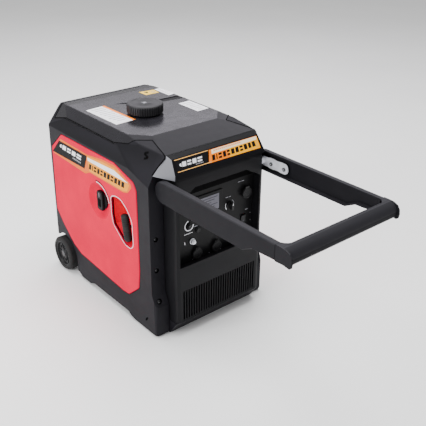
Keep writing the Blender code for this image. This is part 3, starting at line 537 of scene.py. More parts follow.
# ---- camera, floor and light ----
AZIMUTH = radians(-40.17)
ELEVATION = radians(26.9)
ROLL = radians(0.55)
STAND = at(-1.1964, -1.7112, 1.3035)
LENS_MM = 58.0
SENSOR_MM = 36.0
LENS_SHIFT = (0.0052, -0.0012)
LAMPS = (                       # name, place, aim, size, watts, colour
    ("overhead", (0.2, 0.6, 3.4), (0, 0.2, 0.3), (3.4, 2.6), 225.0, (1, 1, 1)),
    ("left_key", (-3.3, 0.2, 1.9), (0, 0.1, 0.3), (2.4, 2.0), 126.0, (1, 1, 1)),
    ("deck_sheen", (2.5, 3.1, 2.16), (0, 0.1, 0.6), (3.4, 0.6), 17.5, (1.0, 0.95, 1.08)),
    ("front_fill", (0.6, -3.6, 1.2), (0, 0.0, 0.3), (1.6, 1.4), 9.0, (1, 1, 1)),
)
SKY = 0.6


def make_camera():
    level = Vector((sin(AZIMUTH), -cos(AZIMUTH), 0.0))
    back = level * cos(ELEVATION) + Vector((0.0, 0.0, sin(ELEVATION)))
    right = Vector((cos(AZIMUTH), sin(AZIMUTH), 0.0))
    up = back.cross(right)
    rolled_right = right * cos(ROLL) + up * sin(ROLL)
    rolled_up = up * cos(ROLL) - right * sin(ROLL)
    turn = Matrix((rolled_right, rolled_up, back)).transposed().to_4x4()
    data = bpy.data.cameras.new("camera")
    data.lens = LENS_MM
    data.sensor_width = SENSOR_MM
    data.shift_x, data.shift_y = LENS_SHIFT
    obj = link_new("camera", data)
    obj.matrix_world = Matrix.Translation(STAND) @ turn
    bpy.context.scene.camera = obj


def light(name, place, target, size, power, colour):
    data = bpy.data.lights.new(name, 'AREA')
    data.shape = 'RECTANGLE'
    data.size, data.size_y = size
    data.energy = power
    data.color = colour
    obj = link_new(name, data)
    obj.location = place
    obj.rotation_euler = (Vector(target) - Vector(place)).to_track_quat('-Z', 'Y').to_euler()


def make_stage():
    bm = bmesh.new()
    bmesh.ops.create_grid(bm, x_segments=1, y_segments=1, size=14.0)
    s = Shader("floor_paint")
    tone = s.ramp(s.noise(1.5, 2.0), [(0.3, (0.9, 0.9, 0.905)), (0.7, (0.93, 0.93, 0.93))])
    s.put(Base_Color=tone, Roughness=s.spread(s.noise(60.0, 2.0), 0.3, 0.7, 0.75, 0.85),
          Specular_IOR_Level=0.1)
    mesh = bpy.data.meshes.new("floor")
    bm.to_mesh(mesh)
    bm.free()
    mesh.materials.append(s.mat)
    link_new("floor", mesh)
    world = bpy.data.worlds.new("studio")
    bpy.context.scene.world = world
    world.use_nodes = True
    background = world.node_tree.nodes["Background"]
    background.inputs["Color"].default_value = (1.0, 1.0, 1.0, 1.0)
    background.inputs["Strength"].default_value = SKY
    for lamp in LAMPS:
        light(*lamp)


# ---- casing ----
SWITCH = (-0.014, 0.363)        # (y, z) of the engine switch on the left side
SWITCH_SINK = 0.016
# Outline of the recoil recess in the left side panel, as (y, z).
RECOIL_HOLE = [(-0.089, 0.405), (-0.11, 0.4145), (-0.14, 0.4145), (-0.172, 0.394), (-0.1955, 0.362),
               (-0.197, 0.283), (-0.184, 0.269), (-0.155, 0.27), (-0.096, 0.316), (-0.089, 0.345)]
PILLAR_SCREWS = (0.333, 0.228)
PILLAR_SCREW_X = 0.1985
FOOT_SCREW_X = 0.2
FOOT_SCREW_Z = 0.1255
PILLAR_Y = -0.284
SKIN_LIFT = 0.0015              # the shells' corner skin stands this far off the top cover's
WELL_FLOOR = -0.0042
HEAD_SINK = -0.0044             # a screw's head starts just under its well's floor


def pillar_face(x, z, height):
    return at(x, PILLAR_Y - height, z)


def foot_face(x, z, height):
    return on_slope(Vector((PILLAR_Y, 0.15)), Vector((-0.304, 0.106)), x, z, height)


def turned_to(direction, axis):
    """The same line, pointing to the positive side of one axis."""
    return -direction if direction[axis] < 0 else direction


def corner_face(side):
    """Axes on the sloping facet above each front pillar, centred on its latch mark."""
    corner = Vector((0.168, -0.3, 0.591))
    across = (Vector((0.204, -0.1, 0.58)) - corner).normalized()
    normal = turned_to(across.cross(Vector((0.206, -0.284, 0.525)) - corner).normalized(), 0)
    up = turned_to(normal.cross(across).normalized(), 2)
    centre = Vector((0.1877, -0.2342, 0.577))
    centre -= normal * (normal.dot(centre - corner) - SKIN_LIFT)

    def place(a, b, height):
        spot = centre + across * a + up * b + normal * height
        return at(side * spot.x, spot.y, spot.z)

    return place


def shell_wells(side):
    """Screw wells, the slot beside the wheel and a rivet hole, taken out of a side shell; their walls and
    floors take the painted-shade material.
    """
    wells = Batch()
    for z in PILLAR_SCREWS:
        wells.lathe(pillar_face, (side * PILLAR_SCREW_X, z), puck(WELL_FLOOR, 0.003, 0.008, 0.0084),
                    "painted_shade", 20)
    wells.lathe(foot_face, (side * FOOT_SCREW_X, FOOT_SCREW_Z), puck(WELL_FLOOR, 0.004, 0.0082, 0.0088),
                "painted_shade", 24)
    face = left_shell if side < 0 else right_shell
    slot = [(-0.262, 0.056), (-0.252, 0.053), (-0.244, 0.037), (-0.252, 0.04)]
    wells.slab(face, rounded(slot, 0.002), -0.0022, 0.003, "painted_shade")
    wells.lathe(face, (0.284, 0.154), puck(-0.0022, 0.003, 0.0042, 0.0044), "painted_shade", 16)
    return wells


def screw(batch, place, x, z, sink, radius):
    """Pan head with a cross slot, sitting at the given depth."""
    batch.lathe(place, (x, z), [(sink, 0.0), (sink, radius), (sink + 0.0012, radius),
                                (sink + 0.002, radius * 0.6), (sink + 0.0021, 0.0)], "dark_steel", 20)
    # the cross slot is a flat near-black sheet of painted shade
    for wide, tall in ((0.62, 0.14), (0.14, 0.62)):
        batch.slab(place, oblong(x, z, radius * wide, radius * tall, 0.0001, 1), sink + 0.0018,
                   sink + 0.0023, "painted_shade")


def latch_mark(batch, side):
    """S-shaped slot on the corner above each pillar, drawn as a flat near-black strip of painted shade."""
    place = corner_face(side)
    path = []
    for k in range(17):
        t = -1.0 + k / 8.0
        path.append((-0.0074 * t + 0.0108 * sin(2.9 * t), 0.0098 * t))
    half = 0.0031
    for a, b in zip(path[:-1], path[1:]):
        u = (Vector(b) - Vector(a)).normalized()
        n = Vector((-u.y, u.x)) * half
        ends = [Vector(a) - u * 0.0006, Vector(b) + u * 0.0006]
        quad = [tuple(ends[0] - n), tuple(ends[1] - n), tuple(ends[1] + n), tuple(ends[0] + n)]
        batch.slab(place, quad, -0.0004, 0.0004, "painted_shade")


SHORTEST_SHADOW_LINE = 0.0008
SHADOW_LINE_ROOT = -0.001
SHADOW_LINE_TOP = 0.0008
LAP = 0.0003                    # each length of painted shadow line runs this far into the next


def joint_line(node, name, picks, inward, outward):
    """Painted shadow line: a thin near-black strip lying in a parting line where the gap's shade falls;
    found as the sharp rim edges of a CAD node.
    """
    bm = joined_faces(node)
    b = Batch()
    for edge in bm.edges:
        if len(edge.link_faces) != 2 or edge.calc_length() < SHORTEST_SHADOW_LINE:
            continue
        for skin, wall in (edge.link_faces, reversed(edge.link_faces)):
            if not picks(skin.normal, wall.normal, (edge.verts[0].co + edge.verts[1].co) / 2.0):
                continue
            start, stop = (v.co.copy() for v in edge.verts)
            along = (stop - start).normalized()
            out = along.cross(skin.normal).normalized()
            if out.dot(wall.normal) < 0:
                out = -out
            ring = []
            for side, high in ((inward, SHADOW_LINE_ROOT), (outward, SHADOW_LINE_ROOT), (outward, SHADOW_LINE_TOP),
                               (inward, SHADOW_LINE_TOP)):
                ring.append(out * side + skin.normal * high)
            b.loft([[start - along * LAP + r for r in ring], [stop + along * LAP + r for r in ring]],
                   "painted_shade")
            break
    bm.free()
    b.done(name, "casing", 0)


def cover_rim(skin, wall, spot):
    """Picks the top cover's outer rim."""
    if abs(wall.z) > 0.05 or skin.z < 0.2 or abs(spot.x) <= 0.14:
        return False
    return wall.dot(Vector((spot.x, spot.y - SHIFT, 0.0))) > -0.05


def cheek_rim(skin, wall, spot):
    """Picks the inner rim of a shell's corner skin, beside the front cover's cheek."""
    if spot.z < 0.5362 or spot.y - SHIFT > -0.262 or skin.y > 0.2:
        return False
    outside = copysign(1.0, spot.x)
    faces_out = skin.dot(Vector((0.75 * outside, -0.3, 0.55)).normalized()) > 0.7
    return faces_out and wall.dot(Vector((-outside, -0.6, 0.0))) > 0.1


def cheek_test(normal, centre):
    """The two pale cheeks at the ends of the brow."""
    return abs(normal.x) > 0.35 and centre.z > 0.531 and normal.y < -0.2


def shaded_brow_test(normal, centre):
    """The front slope and the facets beside it, painted darker and with less sheen than the flat deck as
    painted shade.
    """
    return normal.z > 0.55 and centre.y < at(0.0, -0.1, 0.0).y and normal.z < 0.9985


def visor_test(normal, centre):
    """The front cover from the brow's lip up."""
    return centre.z > 0.535


def channel_test(normal, centre):
    """Floor of the shallow channel sunk in the deck, painted in the darker front plastic as painted shade.
    """
    return normal.z > 0.9 and DECK_Z - 0.0025 < centre.z < DECK_Z - 0.0015


def make_casing():
    for node, side in (("left_side_shell", -1), ("right_side_shell", 1)):
        soften(node, "shell", wells=shell_wells(side))
        marks = Batch()
        for z in PILLAR_SCREWS:
            screw(marks, pillar_face, side * PILLAR_SCREW_X, z, HEAD_SINK, 0.0036)
        screw(marks, foot_face, side * FOOT_SCREW_X, FOOT_SCREW_Z, HEAD_SINK, 0.0046)
        latch_mark(marks, side)
        marks.done("shell_screws_" + ("left" if side < 0 else "right"), "casing")
    # painted shade: the deck channel's floor and the brow's slopes take darker materials than the deck
    soften("top_cover", "top", paint=[(channel_test, "front"), (shaded_brow_test, "brow")])
    # painted shadow lines along the top cover's rim and along the cheeks
    joint_line("top_cover", "deck_shadow_line", cover_rim, -0.0003, 0.0024)
    for side in ("left", "right"):
        joint_line(side + "_side_shell", "cheek_shadow_line_" + side, cheek_rim, -0.001, 0.0022)
    soften("rear_cover", "shell")
    soften("front_cover", "front", paint=[(visor_test, "visor"), (cheek_test, "cheek")])
    soften("base_tray", "shell")
    soften("left_side_panel", "red", 0.0006)
    soften("right_side_panel", "red", 0.0006)
    soften("recoil_recess", "red_deep", 0.0006)
    soften("front_grille", "front", 0.0004)
    soften("control_panel", "panel", 0.0005)


# ---- printed decals: plain blocks stand where the lettering was ----
FILM = (-0.0002, 0.0003)        # heights of a printed film, its bottom just under the surface
STRIPE = (-0.0002, 0.0004)
ON_FILM = (0.0002, 0.0004)      # print on a film
OVER_PRINT = (0.0002, 0.0007)
TOP_PRINT = (0.0003, 0.0008)
# Rows of blocks: widths, gap, and which blocks are split in two.
WIDE_ROW = ((0.9, 0.3, 1.0, 0.9, 0.9, 1.0, 1.0, 1.0, 1.0, 0.9, 1.0), 0.42, (2, 4, 7))
MARK_ROW = ((1.0, 1.0, 1.0, 1.2), 0.35, (1, 3))


def between(a, b, t):
    return (a[0] + (b[0] - a[0]) * t, a[1] + (b[1] - a[1]) * t)


def dashes(batch, place, quad, cells, low, high, key):
    """Row of plain blocks in a four-cornered zone; each cell is (from, to, bottom, top) in shares of it."""
    top_a, top_b, low_b, low_a = quad
    for start, stop, bottom, top in cells:
        corners = []
        for along, up in ((start, bottom), (stop, bottom), (stop, top), (start, top)):
            corners.append(between(between(low_a, low_b, along), between(top_a, top_b, along), up))
        batch.slab(place, corners, low, high, key)


def blocks(widths, gap, splits=()):
    """Cells for a row of blocks; numbers in splits are drawn as a pair of thin bars."""
    total = sum(widths) + gap * (len(widths) - 1)
    cells = []
    spot = 0.0
    for i, width in enumerate(widths):
        start = spot / total
        stop = (spot + width) / total
        if i in splits:
            cells.append((start, stop, 0.0, 0.36))
            cells.append((start, stop, 0.62, 1.0))
        else:
            cells.append((start, stop, 0.0, 1.0))
        spot += width + gap
    return cells


def side_decal(place, name):
    b = Batch()
    base = [(0.2054, 0.5049), (0.0409, 0.5018), (-0.0534, 0.5151), (-0.1219, 0.5175), (-0.2003, 0.4855),
            (-0.2041, 0.4756), (-0.1816, 0.4518), (-0.1577, 0.4459), (0.0275, 0.4455), (0.0561, 0.4327),
            (0.2629, 0.4402)]
    inner = [(0.04, 0.4975), (-0.0534, 0.5075), (-0.1175, 0.508), (-0.193, 0.48), (-0.179, 0.456),
             (-0.156, 0.45), (0.03, 0.4495)]
    b.slab(place, rounded(base, 0.004), *FILM, "side_amber")
    b.slab(place, rounded(inner, 0.003), 0.0002, 0.0005, "side_gold")
    black = [(0.2129, 0.4965), (0.0389, 0.4971), (0.0593, 0.4484), (0.2652, 0.4443)]
    b.slab(place, black, 0.0002, 0.0006, "side_ink")
    wedge = [(0.0368, 0.4933), (-0.1155, 0.5012), (-0.1866, 0.4848), (-0.1375, 0.4832), (0.0355, 0.4833)]
    b.slab(place, wedge, *OVER_PRINT, "white")
    mark = ((0.19, 0.488), (0.074, 0.4862), (0.079, 0.47), (0.196, 0.4725))
    dashes(b, place, mark, blocks(*MARK_ROW), *TOP_PRINT, "white")
    b.slab(place, [(0.2085, 0.4835), (0.1985, 0.4875), (0.2015, 0.4735), (0.2105, 0.476)], *TOP_PRINT,
           "white")
    line = ((0.13, 0.464), (0.08, 0.463), (0.0815, 0.458), (0.131, 0.459))
    dashes(b, place, line, blocks([1] * 6, 0.4), *TOP_PRINT, "dim_white")
    row = ((0.027, 0.475), (-0.168, 0.48), (-0.164, 0.462), (0.031, 0.457))
    dashes(b, place, row, blocks(*WIDE_ROW), *TOP_PRINT, "side_ink")
    b.done(name, "casing", 0)


def arc_cells(batch, place, centre, radii, angles, count, fill, heights, key):
    """Dashed printed arc; angles are in degrees, from the surface's first axis to its second."""
    inner, outer = radii
    start, stop = angles
    step = radians(stop - start) / count
    for k in range(count):
        a0 = radians(start) + k * step
        a1 = a0 + step * fill
        half_way = (a0 + a1) / 2
        corners = []
        for radius, ang in ((inner, a0), (outer, a0), (outer, half_way), (outer, a1), (inner, a1),
                            (inner, half_way)):
            corners.append((centre[0] + radius * cos(ang), centre[1] + radius * sin(ang)))
        batch.slab(place, corners, *heights, key)


def starter_side_prints_and_shade():
    b = Batch()
    arc_cells(b, left_face, SWITCH, (0.0622, 0.065), (166, 82), 17, 0.7, STRIPE, "white")
    arc_cells(b, left_face, SWITCH, (0.0664, 0.0702), (168, 80), 15, 0.82, STRIPE, "ink")
    hole = rounded(RECOIL_HOLE, 0.012, 5)
    # painted shade: a black ring just inside the hole's rim, for the shadow of the recess wall
    b.frame(left_face, grown(hole, 0.0004), grown(hole, 0.0016), *STRIPE, "ink")
    b.frame(left_face, grown(hole, 0.0012), grown(hole, 0.0036), -0.0002, 0.0006, "blush")
    # painted shade: a near-black plate set inside the hole along part of its rim, for the shadowed recess
    # wall
    edge = [(-0.0895, 0.405), (-0.0895, 0.345), (-0.096, 0.3165), (-0.145, 0.2785), (-0.1465, 0.2812),
            (-0.0988, 0.319), (-0.0925, 0.346), (-0.0925, 0.404)]
    b.slab(left_face, edge, -0.006, -0.003, "painted_shade")
    b.done("starter_side_prints_and_shade", "casing", 0)


def visor_decal():
    b = Batch()
    for z in (0.58, 0.5508):
        b.slab(visor, [(-0.154, z - 0.0007), (-0.0345, z - 0.0007), (-0.034, z + 0.0009),
                       (-0.154, z + 0.0009)], *STRIPE, "peach")
    b.slab(visor, [(-0.153, 0.553), (-0.047, 0.553), (-0.0365, 0.5775), (-0.1515, 0.5775)], *STRIPE, "ink")
    b.slab(visor, [(-0.044, 0.5492), (0.156, 0.5478), (0.1545, 0.5805), (-0.03, 0.5805)], *FILM, "amber")
    b.slab(visor, [(0.035, 0.5488), (0.1552, 0.5484), (0.1538, 0.5798), (0.039, 0.5798)], 0.0001, 0.0004,
           "gold")
    b.slab(visor, [(-0.025, 0.569), (0.151, 0.5715), (0.153, 0.5795), (-0.0215, 0.5795)], 0.0001, 0.0006,
           "cream")
    mark = ((-0.131, 0.5715), (-0.06, 0.5715), (-0.064, 0.5605), (-0.134, 0.5605))
    dashes(b, visor, mark, blocks(*MARK_ROW), *OVER_PRINT, "white")
    b.slab(visor, [(-0.142, 0.564), (-0.1365, 0.561), (-0.135, 0.57), (-0.141, 0.568)], *OVER_PRINT,
           "white")
    line = ((-0.088, 0.558), (-0.061, 0.558), (-0.062, 0.5556), (-0.089, 0.5556))
    dashes(b, visor, line, blocks([1] * 5, 0.4), *OVER_PRINT, "dim_white")
    row = ((-0.0255, 0.566), (0.14, 0.569), (0.14, 0.556), (-0.03, 0.553))
    dashes(b, visor, row, blocks(*WIDE_ROW), *OVER_PRINT, "ink")
    small = ((-0.015, 0.5775), (0.088, 0.5782), (0.088, 0.5752), (-0.0155, 0.5745))
    dashes(b, visor, small, blocks([1.0] * 14, 0.5), 0.0002, 0.0008, "amber")
    b.done("visor_decal", "casing", 0)


LABELS = (                      # corners, heights, colour
    (((-0.155, 0.141), (-0.084, 0.147), (-0.08, -0.026), (-0.152, -0.031)), (-0.0002, 0.0002), "amber"),
    (((-0.155, 0.141), (-0.0935, 0.146), (-0.0895, -0.0265), (-0.152, -0.031)), FILM, "white"),
    (((0.088, 0.199), (0.144, 0.192), (0.142, 0.156), (0.089, 0.157)), FILM, "yellow"),
    (((0.098, 0.187), (0.106, 0.168), (0.114, 0.187)), ON_FILM, "ink"),
    (((0.149, 0.194), (0.173, 0.194), (0.177, 0.114), (0.149, 0.109)), FILM, "white"),
    (((0.119, 0.016), (0.166, 0.018), (0.166, -0.082), (0.119, -0.084)), FILM, "white"),
)
# Bars on the labels: first centre, step, count, longest half, shortening, cycle, (half height, rounding).
LABEL_BARS = (
    ((-0.1195, 0.128), (0.0004, -0.0165), 9, 0.024, 0.004, 3, (0.0016, 0.0004)),
    ((0.129, 0.183), (0.0, -0.009), 3, 0.009, 0.0, 1, (0.0016, 0.0004)),
    ((0.162, 0.182), (0.0, -0.014), 5, 0.009, 0.002, 2, (0.0014, 0.0003)),
    ((0.1425, 0.002), (0.0, -0.0145), 6, 0.017, 0.003, 3, (0.0014, 0.0003)),
)


def deck_labels():
    b = Batch()
    for corners, heights, key in LABELS:
        b.slab(deck, list(corners), *heights, key)
    for (x, y), (step_x, step_y), count, longest, shortening, cycle, edge in LABEL_BARS:
        for k in range(count):
            bar = oblong(x + step_x * k, y + step_y * k, longest - shortening * (k % cycle), *edge, 1)
            b.slab(deck, bar, *ON_FILM, "dim_white")
    b.done("deck_labels", "casing", 0)


# ---- fuel cap, switch, pull grip and rope ----
def cap_place(a, b, height):
    return Vector((CAP.x + a, CAP.y + b, height))


CAP_RIBS = 48


def make_fuel_cap():
    b = Batch()
    shoulder = CAP_TOP - 0.003
    top = [(0.6047, 0.038), (0.6047, 0.0492), (0.6055, 0.05), (0.6085, 0.0512), (0.6093, 0.0546),
           (shoulder, 0.0562), (CAP_TOP - 0.0012, 0.055), (CAP_TOP - 0.0002, 0.052), (CAP_TOP, 0.049),
           (CAP_TOP, 0.045), (CAP_TOP - 0.0008, 0.044), (CAP_TOP - 0.0008, 0.021), (CAP_TOP - 0.0003, 0.02),
           (CAP_TOP - 0.0003, 0.0)]
    b.lathe(cap_place, (0, 0), top, "cap", 64)
    for k in range(CAP_RIBS):
        ang = 2.0 * pi * k / CAP_RIBS
        rings = []
        for height, reach in ((0.6086, 0.0566), (0.6094, 0.0576), (shoulder - 0.0022, 0.058),
                              (shoulder - 0.0004, 0.0566)):
            ring = []
            for radius, offset in ((reach - 0.004, -0.002), (reach, -0.0011), (reach, 0.0011),
                                   (reach - 0.004, 0.002)):
                turn = ang + offset / 0.056
                ring.append(cap_place(radius * cos(turn), radius * sin(turn), height))
            rings.append(ring)
        b.loft(rings, "cap")
    mark = CAP_TOP - 0.0003
    for points in (oblong(-0.0035, 0.0015, 0.0045, 0.0062, 0.0008, 2),
                   oblong(-0.0035, -0.0062, 0.006, 0.001, 0.0003, 1),
                   oblong(0.0035, 0.0005, 0.0006, 0.0052, 0.0003, 1),
                   oblong(0.0022, 0.0054, 0.0018, 0.0006, 0.0002, 1)):
        b.slab(cap_place, points, mark - 0.0002, mark + 0.0004, "dim_white")
    b.slab(cap_place, oblong(-0.0035, 0.0042, 0.0028, 0.002, 0.0004, 1), mark, mark + 0.0006, "ink")
    b.done("fuel_cap_ribbed", "cap", 30, ("fuel_cap",))


def make_switch():
    b = Batch()
    out = -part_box("engine_switch_knob")[0].x - RED_X
    y, z = SWITCH
    floor = 0.0002 - SWITCH_SINK
    disc = [(floor, 0.0), (floor, 0.0292), (floor + 0.0045, 0.03), (floor + 0.0058, 0.0288),
            (floor + 0.0058, 0.0)]
    b.lathe(left_face, SWITCH, disc, "knob", 40)
    b.lathe(left_face, SWITCH, puck(-0.031, floor + 0.001, 0.0052, 0.0054), "knob", 16)
    bar = rounded([(y - 0.016, z - 0.033), (y + 0.016, z - 0.033), (y + 0.016, z + 0.033),
                   (y - 0.016, z + 0.033)], 0.011, 6)
    b.slab(left_face, bar, floor + 0.004, out, "knob", 0.0022)
    for side in (-1, 1):
        for k in range(7):
            b.slab(left_face, oblong(y + side * 0.016, z - 0.018 + 0.006 * k, 0.0006, 0.0013, 0.0003, 1),
                   floor + 0.006, out - 0.003, "knob")
    b.slab(left_face, oblong(y, z + 0.02, 0.0013, 0.008, 0.0006, 2), out - 0.0004, out + 0.0003,
           "dim_white")
    # painted shade: a flat near-black patch on the bar's face
    b.slab(left_face, oblong(y, z - 0.007, 0.0085, 0.014, 0.003, 3), out - 0.0004, out + 0.0002, "painted_shade")
    b.done("switch_knob_shaped", "engine_switch", 30, ("engine_switch_knob",))


GRIP = (-0.152, 0.322)          # (y, z) of the pull grip
GRIP_X = -0.212
GRIP_LEAN = radians(10.0)


def grip_place(a, b, height):
    turn = Matrix.Rotation(-GRIP_LEAN, 3, 'X')
    spot = turn @ Vector((a * 0.9, b * 1.15, height))
    return at(GRIP_X + spot.x, GRIP[0] + spot.y, GRIP[1] + spot.z)


def guide_place(y, z, height):
    return at(-height, y, z)


def make_grip():
    b = Batch()
    length = 0.0445
    half = [(0.0, 0.013), (0.006, 0.0131)]
    for k in range(4):
        spot = 0.0085 + 0.0068 * k
        half += [(spot, 0.0131), (spot + 0.0008, 0.0121), (spot + 0.0022, 0.0121), (spot + 0.003, 0.0131)]
    half += [(length - 0.007, 0.0127), (length - 0.0026, 0.0106), (length - 0.0004, 0.007), (length, 0.0)]
    b.lathe(grip_place, (0, 0), mirrored(half), "grip", 28)
    b.lathe(guide_place, GRIP, [(0.1782, 0.0), (0.1782, 0.0042), (0.179, 0.0048), (0.206, 0.0048),
                                (0.206, 0.0)], "grip", 16)
    b.done("pull_grip_ringed", "starter_grip", 40, ("recoil_grip",))


def make_rope():
    """Braided rope: a straight run through the guide, and a wound end."""
    b = Batch()
    path = [guide_place(GRIP[0], GRIP[1], x) for x in (0.159, 0.1615, 0.164, 0.166, 0.169, 0.172, 0.175,
                                                       0.1778)]
    b.tube(path, 0.002, "rope", 10)
    rope = b.done("starter_rope", None, 40, ("recoil_rope",))
    guide_place(GRIP[0], GRIP[1], 0.1645)
    guide_place(GRIP[0], GRIP[1], 0.177)
    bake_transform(rope)
    coil = Batch()
    radius = 0.046
    turns = []
    for k in range(60):
        ang = radians(150.0 + 14.0 * k)
        turns.append(at(-0.1592 + 0.00006 * k, -radius * cos(ang), 0.205 + radius * sin(ang)))
    coil.tube(turns, 0.0017, "rope", 6)
    coil.done("wound_rope", "starter_pulley", 40)
    guide = Batch()
    eyelet = [(0.1718, 0.0032), (0.1718, 0.0064), (0.1736, 0.0064), (0.1742, 0.0054), (0.1742, 0.0032)]
    guide.loft_ring(lambda a, b, h: guide_place(GRIP[0] + a, GRIP[1] + b, h), eyelet, "dark_steel", 24)
    guide.done("rope_eyelet", "casing", 40)


# ---- control panel ----
# Each control's (x, z) on the panel.
SELECTOR = (0.062, 0.375)
CONNECTOR = (0.124, 0.402)
BREAKER = (-0.096, 0.355)
STARTER = (-0.064, 0.332)
GROUND = (-0.085, 0.3)
SOCKETS = {"left": (-0.07, 0.257), "middle": (0.006, 0.2555), "right": (0.082, 0.2555)}
ROCKER = (0.118, 0.312)


def make_display():
    low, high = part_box("display_lens")
    face = PANEL_Y - low.y
    centre = (low + high) / 2.0
    half = (high - low) / 2.0
    b = Batch()
    glass = oblong(centre.x, centre.z, half.x, half.z, 0.0015, 3)
    b.slab(panel, glass, face - 0.0016, face, "lcd", 0.0003)
    for row in range(6):
        reach = 0.044 - 0.006 * (row % 3)
        bar = oblong(low.x + 0.005 + reach, high.z - 0.0075 - 0.0076 * row, reach, 0.0014, 0.0004, 1)
        b.slab(panel, bar, face - 0.0002, face + 0.0002, "lcd_dark")
    b.done("display_face", "casing", 30, ("display_lens",))


CAPTIONS = (                    # centre and half length of the bars that stand for words
    (0.05, 0.404, 0.005), (0.062, 0.4035, 0.0042), (0.099, 0.442, 0.0055), (0.113, 0.4415, 0.0055),
    (0.133, 0.339, 0.0062), (-0.071, 0.346, 0.006), (0.028, 0.35, 0.014),
)
LAMP_DOTS = ((0.1494, 0.3218), (0.1506, 0.2955), (-0.0829, 0.2369), (-0.0184, 0.2361), (0.0278, 0.2332),
             (0.094, 0.236))


def make_panel_prints_and_shadow():
    b = Batch()
    # painted shadow: a near-black strip across the top of the panel, where the brow's lower lip shades it
    lip_shadow = [(-0.154, 0.4568), (0.154, 0.4568), (0.154, 0.499), (-0.154, 0.499)]
    b.slab(panel, lip_shadow, -0.0002, 0.0012, "painted_shade")
    arc_cells(b, panel, SELECTOR, (0.0158, 0.018), (150, 222), 7, 0.96, FILM, "white")
    arc_cells(b, panel, SELECTOR, (0.0158, 0.018), (-12, 62), 7, 0.8, FILM, "dim_white")
    arc_cells(b, panel, BREAKER, (0.014, 0.017), (104, 362), 26, 1.04, FILM, "white")
    b.lathe(panel, (-0.101, 0.3705), puck(*STRIPE, 0.0024, 0.0022), "white", 14)
    for x, z, half in CAPTIONS:
        b.slab(panel, oblong(x, z, half, 0.001, 0.0003, 1), *FILM, "dim_white")
    for k in range(5):
        b.slab(panel, oblong(-0.1125 + 0.0066 * k, 0.3298, 0.0028, 0.0008, 0.0003, 1), *FILM, "white")
    b.slab(panel, oblong(-0.1129, 0.301, 0.001, 0.0046, 0.0004, 1), *FILM, "white")
    for spot in LAMP_DOTS:
        b.lathe(panel, spot, puck(*STRIPE, 0.0017, 0.0015), "dim_white", 12)
    for x in (-0.138, 0.146):
        screw(b, panel, x, 0.258, -0.0002, 0.0034)
    b.done("panel_prints_and_shadow", "casing", 0)


def make_selector():
    b = Batch()
    reach = PANEL_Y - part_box("selector_knob")[0].y
    b.lathe(panel, SELECTOR, [(0.0004, 0.0), (0.0004, 0.0128), (0.0038, 0.013), (0.0048, 0.0118),
                              (0.0048, 0.0)], "black", 36)
    x, z = SELECTOR
    b.slab(panel, oblong(x, z, 0.0042, 0.0122, 0.003, 4), 0.0046, reach, "black", 0.001)
    b.slab(panel, oblong(x, z + 0.0072, 0.0007, 0.004, 0.0003, 1), reach - 0.0003, reach + 0.0003, "white")
    for u in spokes(20):
        b.lathe(panel, Vector(SELECTOR) + u * 0.0126, puck(0.0006, 0.004, 0.0008, 0.0007), "black", 6)
    b.done("selector_shaped", "selector", 30, ("selector_knob",))


def make_buttons():
    for node, centre, radius, slot in (("breaker_button", BREAKER, 0.0075, "button_white"),
                                       ("start_button", STARTER, 0.0068, "button_black")):
        out = PANEL_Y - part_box(node)[0].y
        profile = [(-0.011, 0.0), (-0.011, radius - 0.0004), (out - 0.0016, radius - 0.0002),
                   (out - 0.0004, radius - 0.001), (out, radius - 0.0022), (out - 0.0005, radius - 0.0034),
                   (out - 0.0007, 0.0)]
        b = Batch()
        b.lathe(panel, centre, profile, "black", 32)
        b.done(node + "_dished", BODY_OF[node], 30, (node,))


def panel_side(z, height, x):
    return Vector((x, PANEL_Y - height, z))


def make_rocker():
    b = Batch()
    x, z = ROCKER
    out = PANEL_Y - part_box("eco_switch")[0].y
    root = [(-0.0122, 0.003), (0.0, 0.003), (0.0122, 0.0036), (0.0092, -0.0078), (-0.0092, -0.0078)]
    face = [(-0.0118, 0.0028), (-0.0116, out - 0.0012), (0.0, 0.0032), (0.0116, out - 0.0002),
            (0.012, 0.003), (0.0, 0.002)]
    for outline, half in ((root, 0.0089), (face, 0.0084)):
        b.slab(panel_side, [(z + up, height) for up, height in outline], x - half, x + half, "black")
    b.slab(panel, oblong(x, z + 0.0062, 0.0006, 0.003, 0.0002, 1), 0.0038, 0.0048, "lcd_dark")
    b.lathe(panel, (x, z - 0.0066), puck(0.003, 0.0046, 0.0026), "lcd_dark", 20)
    b.done("eco_rocker_shaped", "eco_rocker", 30, ("eco_switch",))


def depth_of(node):
    """How far a control's back and front stand off the panel."""
    low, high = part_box(node)
    return PANEL_Y - high.y, PANEL_Y - low.y


def make_lids():
    for name, (x, z) in SOCKETS.items():
        node = "socket_lid_" + name
        near, out = depth_of(node)
        b = Batch()
        profile = [(near, 0.0), (near, 0.0177), (near + 0.0008, 0.0185), (out - 0.001, 0.0185),
                   (out, 0.0174), (out, 0.0142), (out - 0.0008, 0.0132), (out - 0.0008, 0.0066),
                   (out - 0.0002, 0.0056), (out - 0.0002, 0.0)]
        b.lathe(panel, (x, z - 0.0022), profile, "lid", 40)
        hinge = z + 0.017
        b.slab(panel, oblong(x, hinge, 0.0072, 0.0029, 0.001, 3), near + 0.0002, out - 0.0003, "lid",
               0.0004)
        b.slab(panel, oblong(x, z - 0.018, 0.0048, 0.0016, 0.0006, 2), out - 0.001, out + 0.0006, "lid",
               0.0004)
        # the hinge grooves are flat near-black sheets of painted shade
        for k in range(3):
            groove = oblong(x - 0.003 + 0.003 * k, hinge, 0.0005, 0.0022, 0.0002, 1)
            b.slab(panel, groove, out - 0.0006, out, "painted_shade")
        b.done(node + "_ringed", BODY_OF[node], 30, (node,))
        make_socket_face(name, Vector((x, z)))


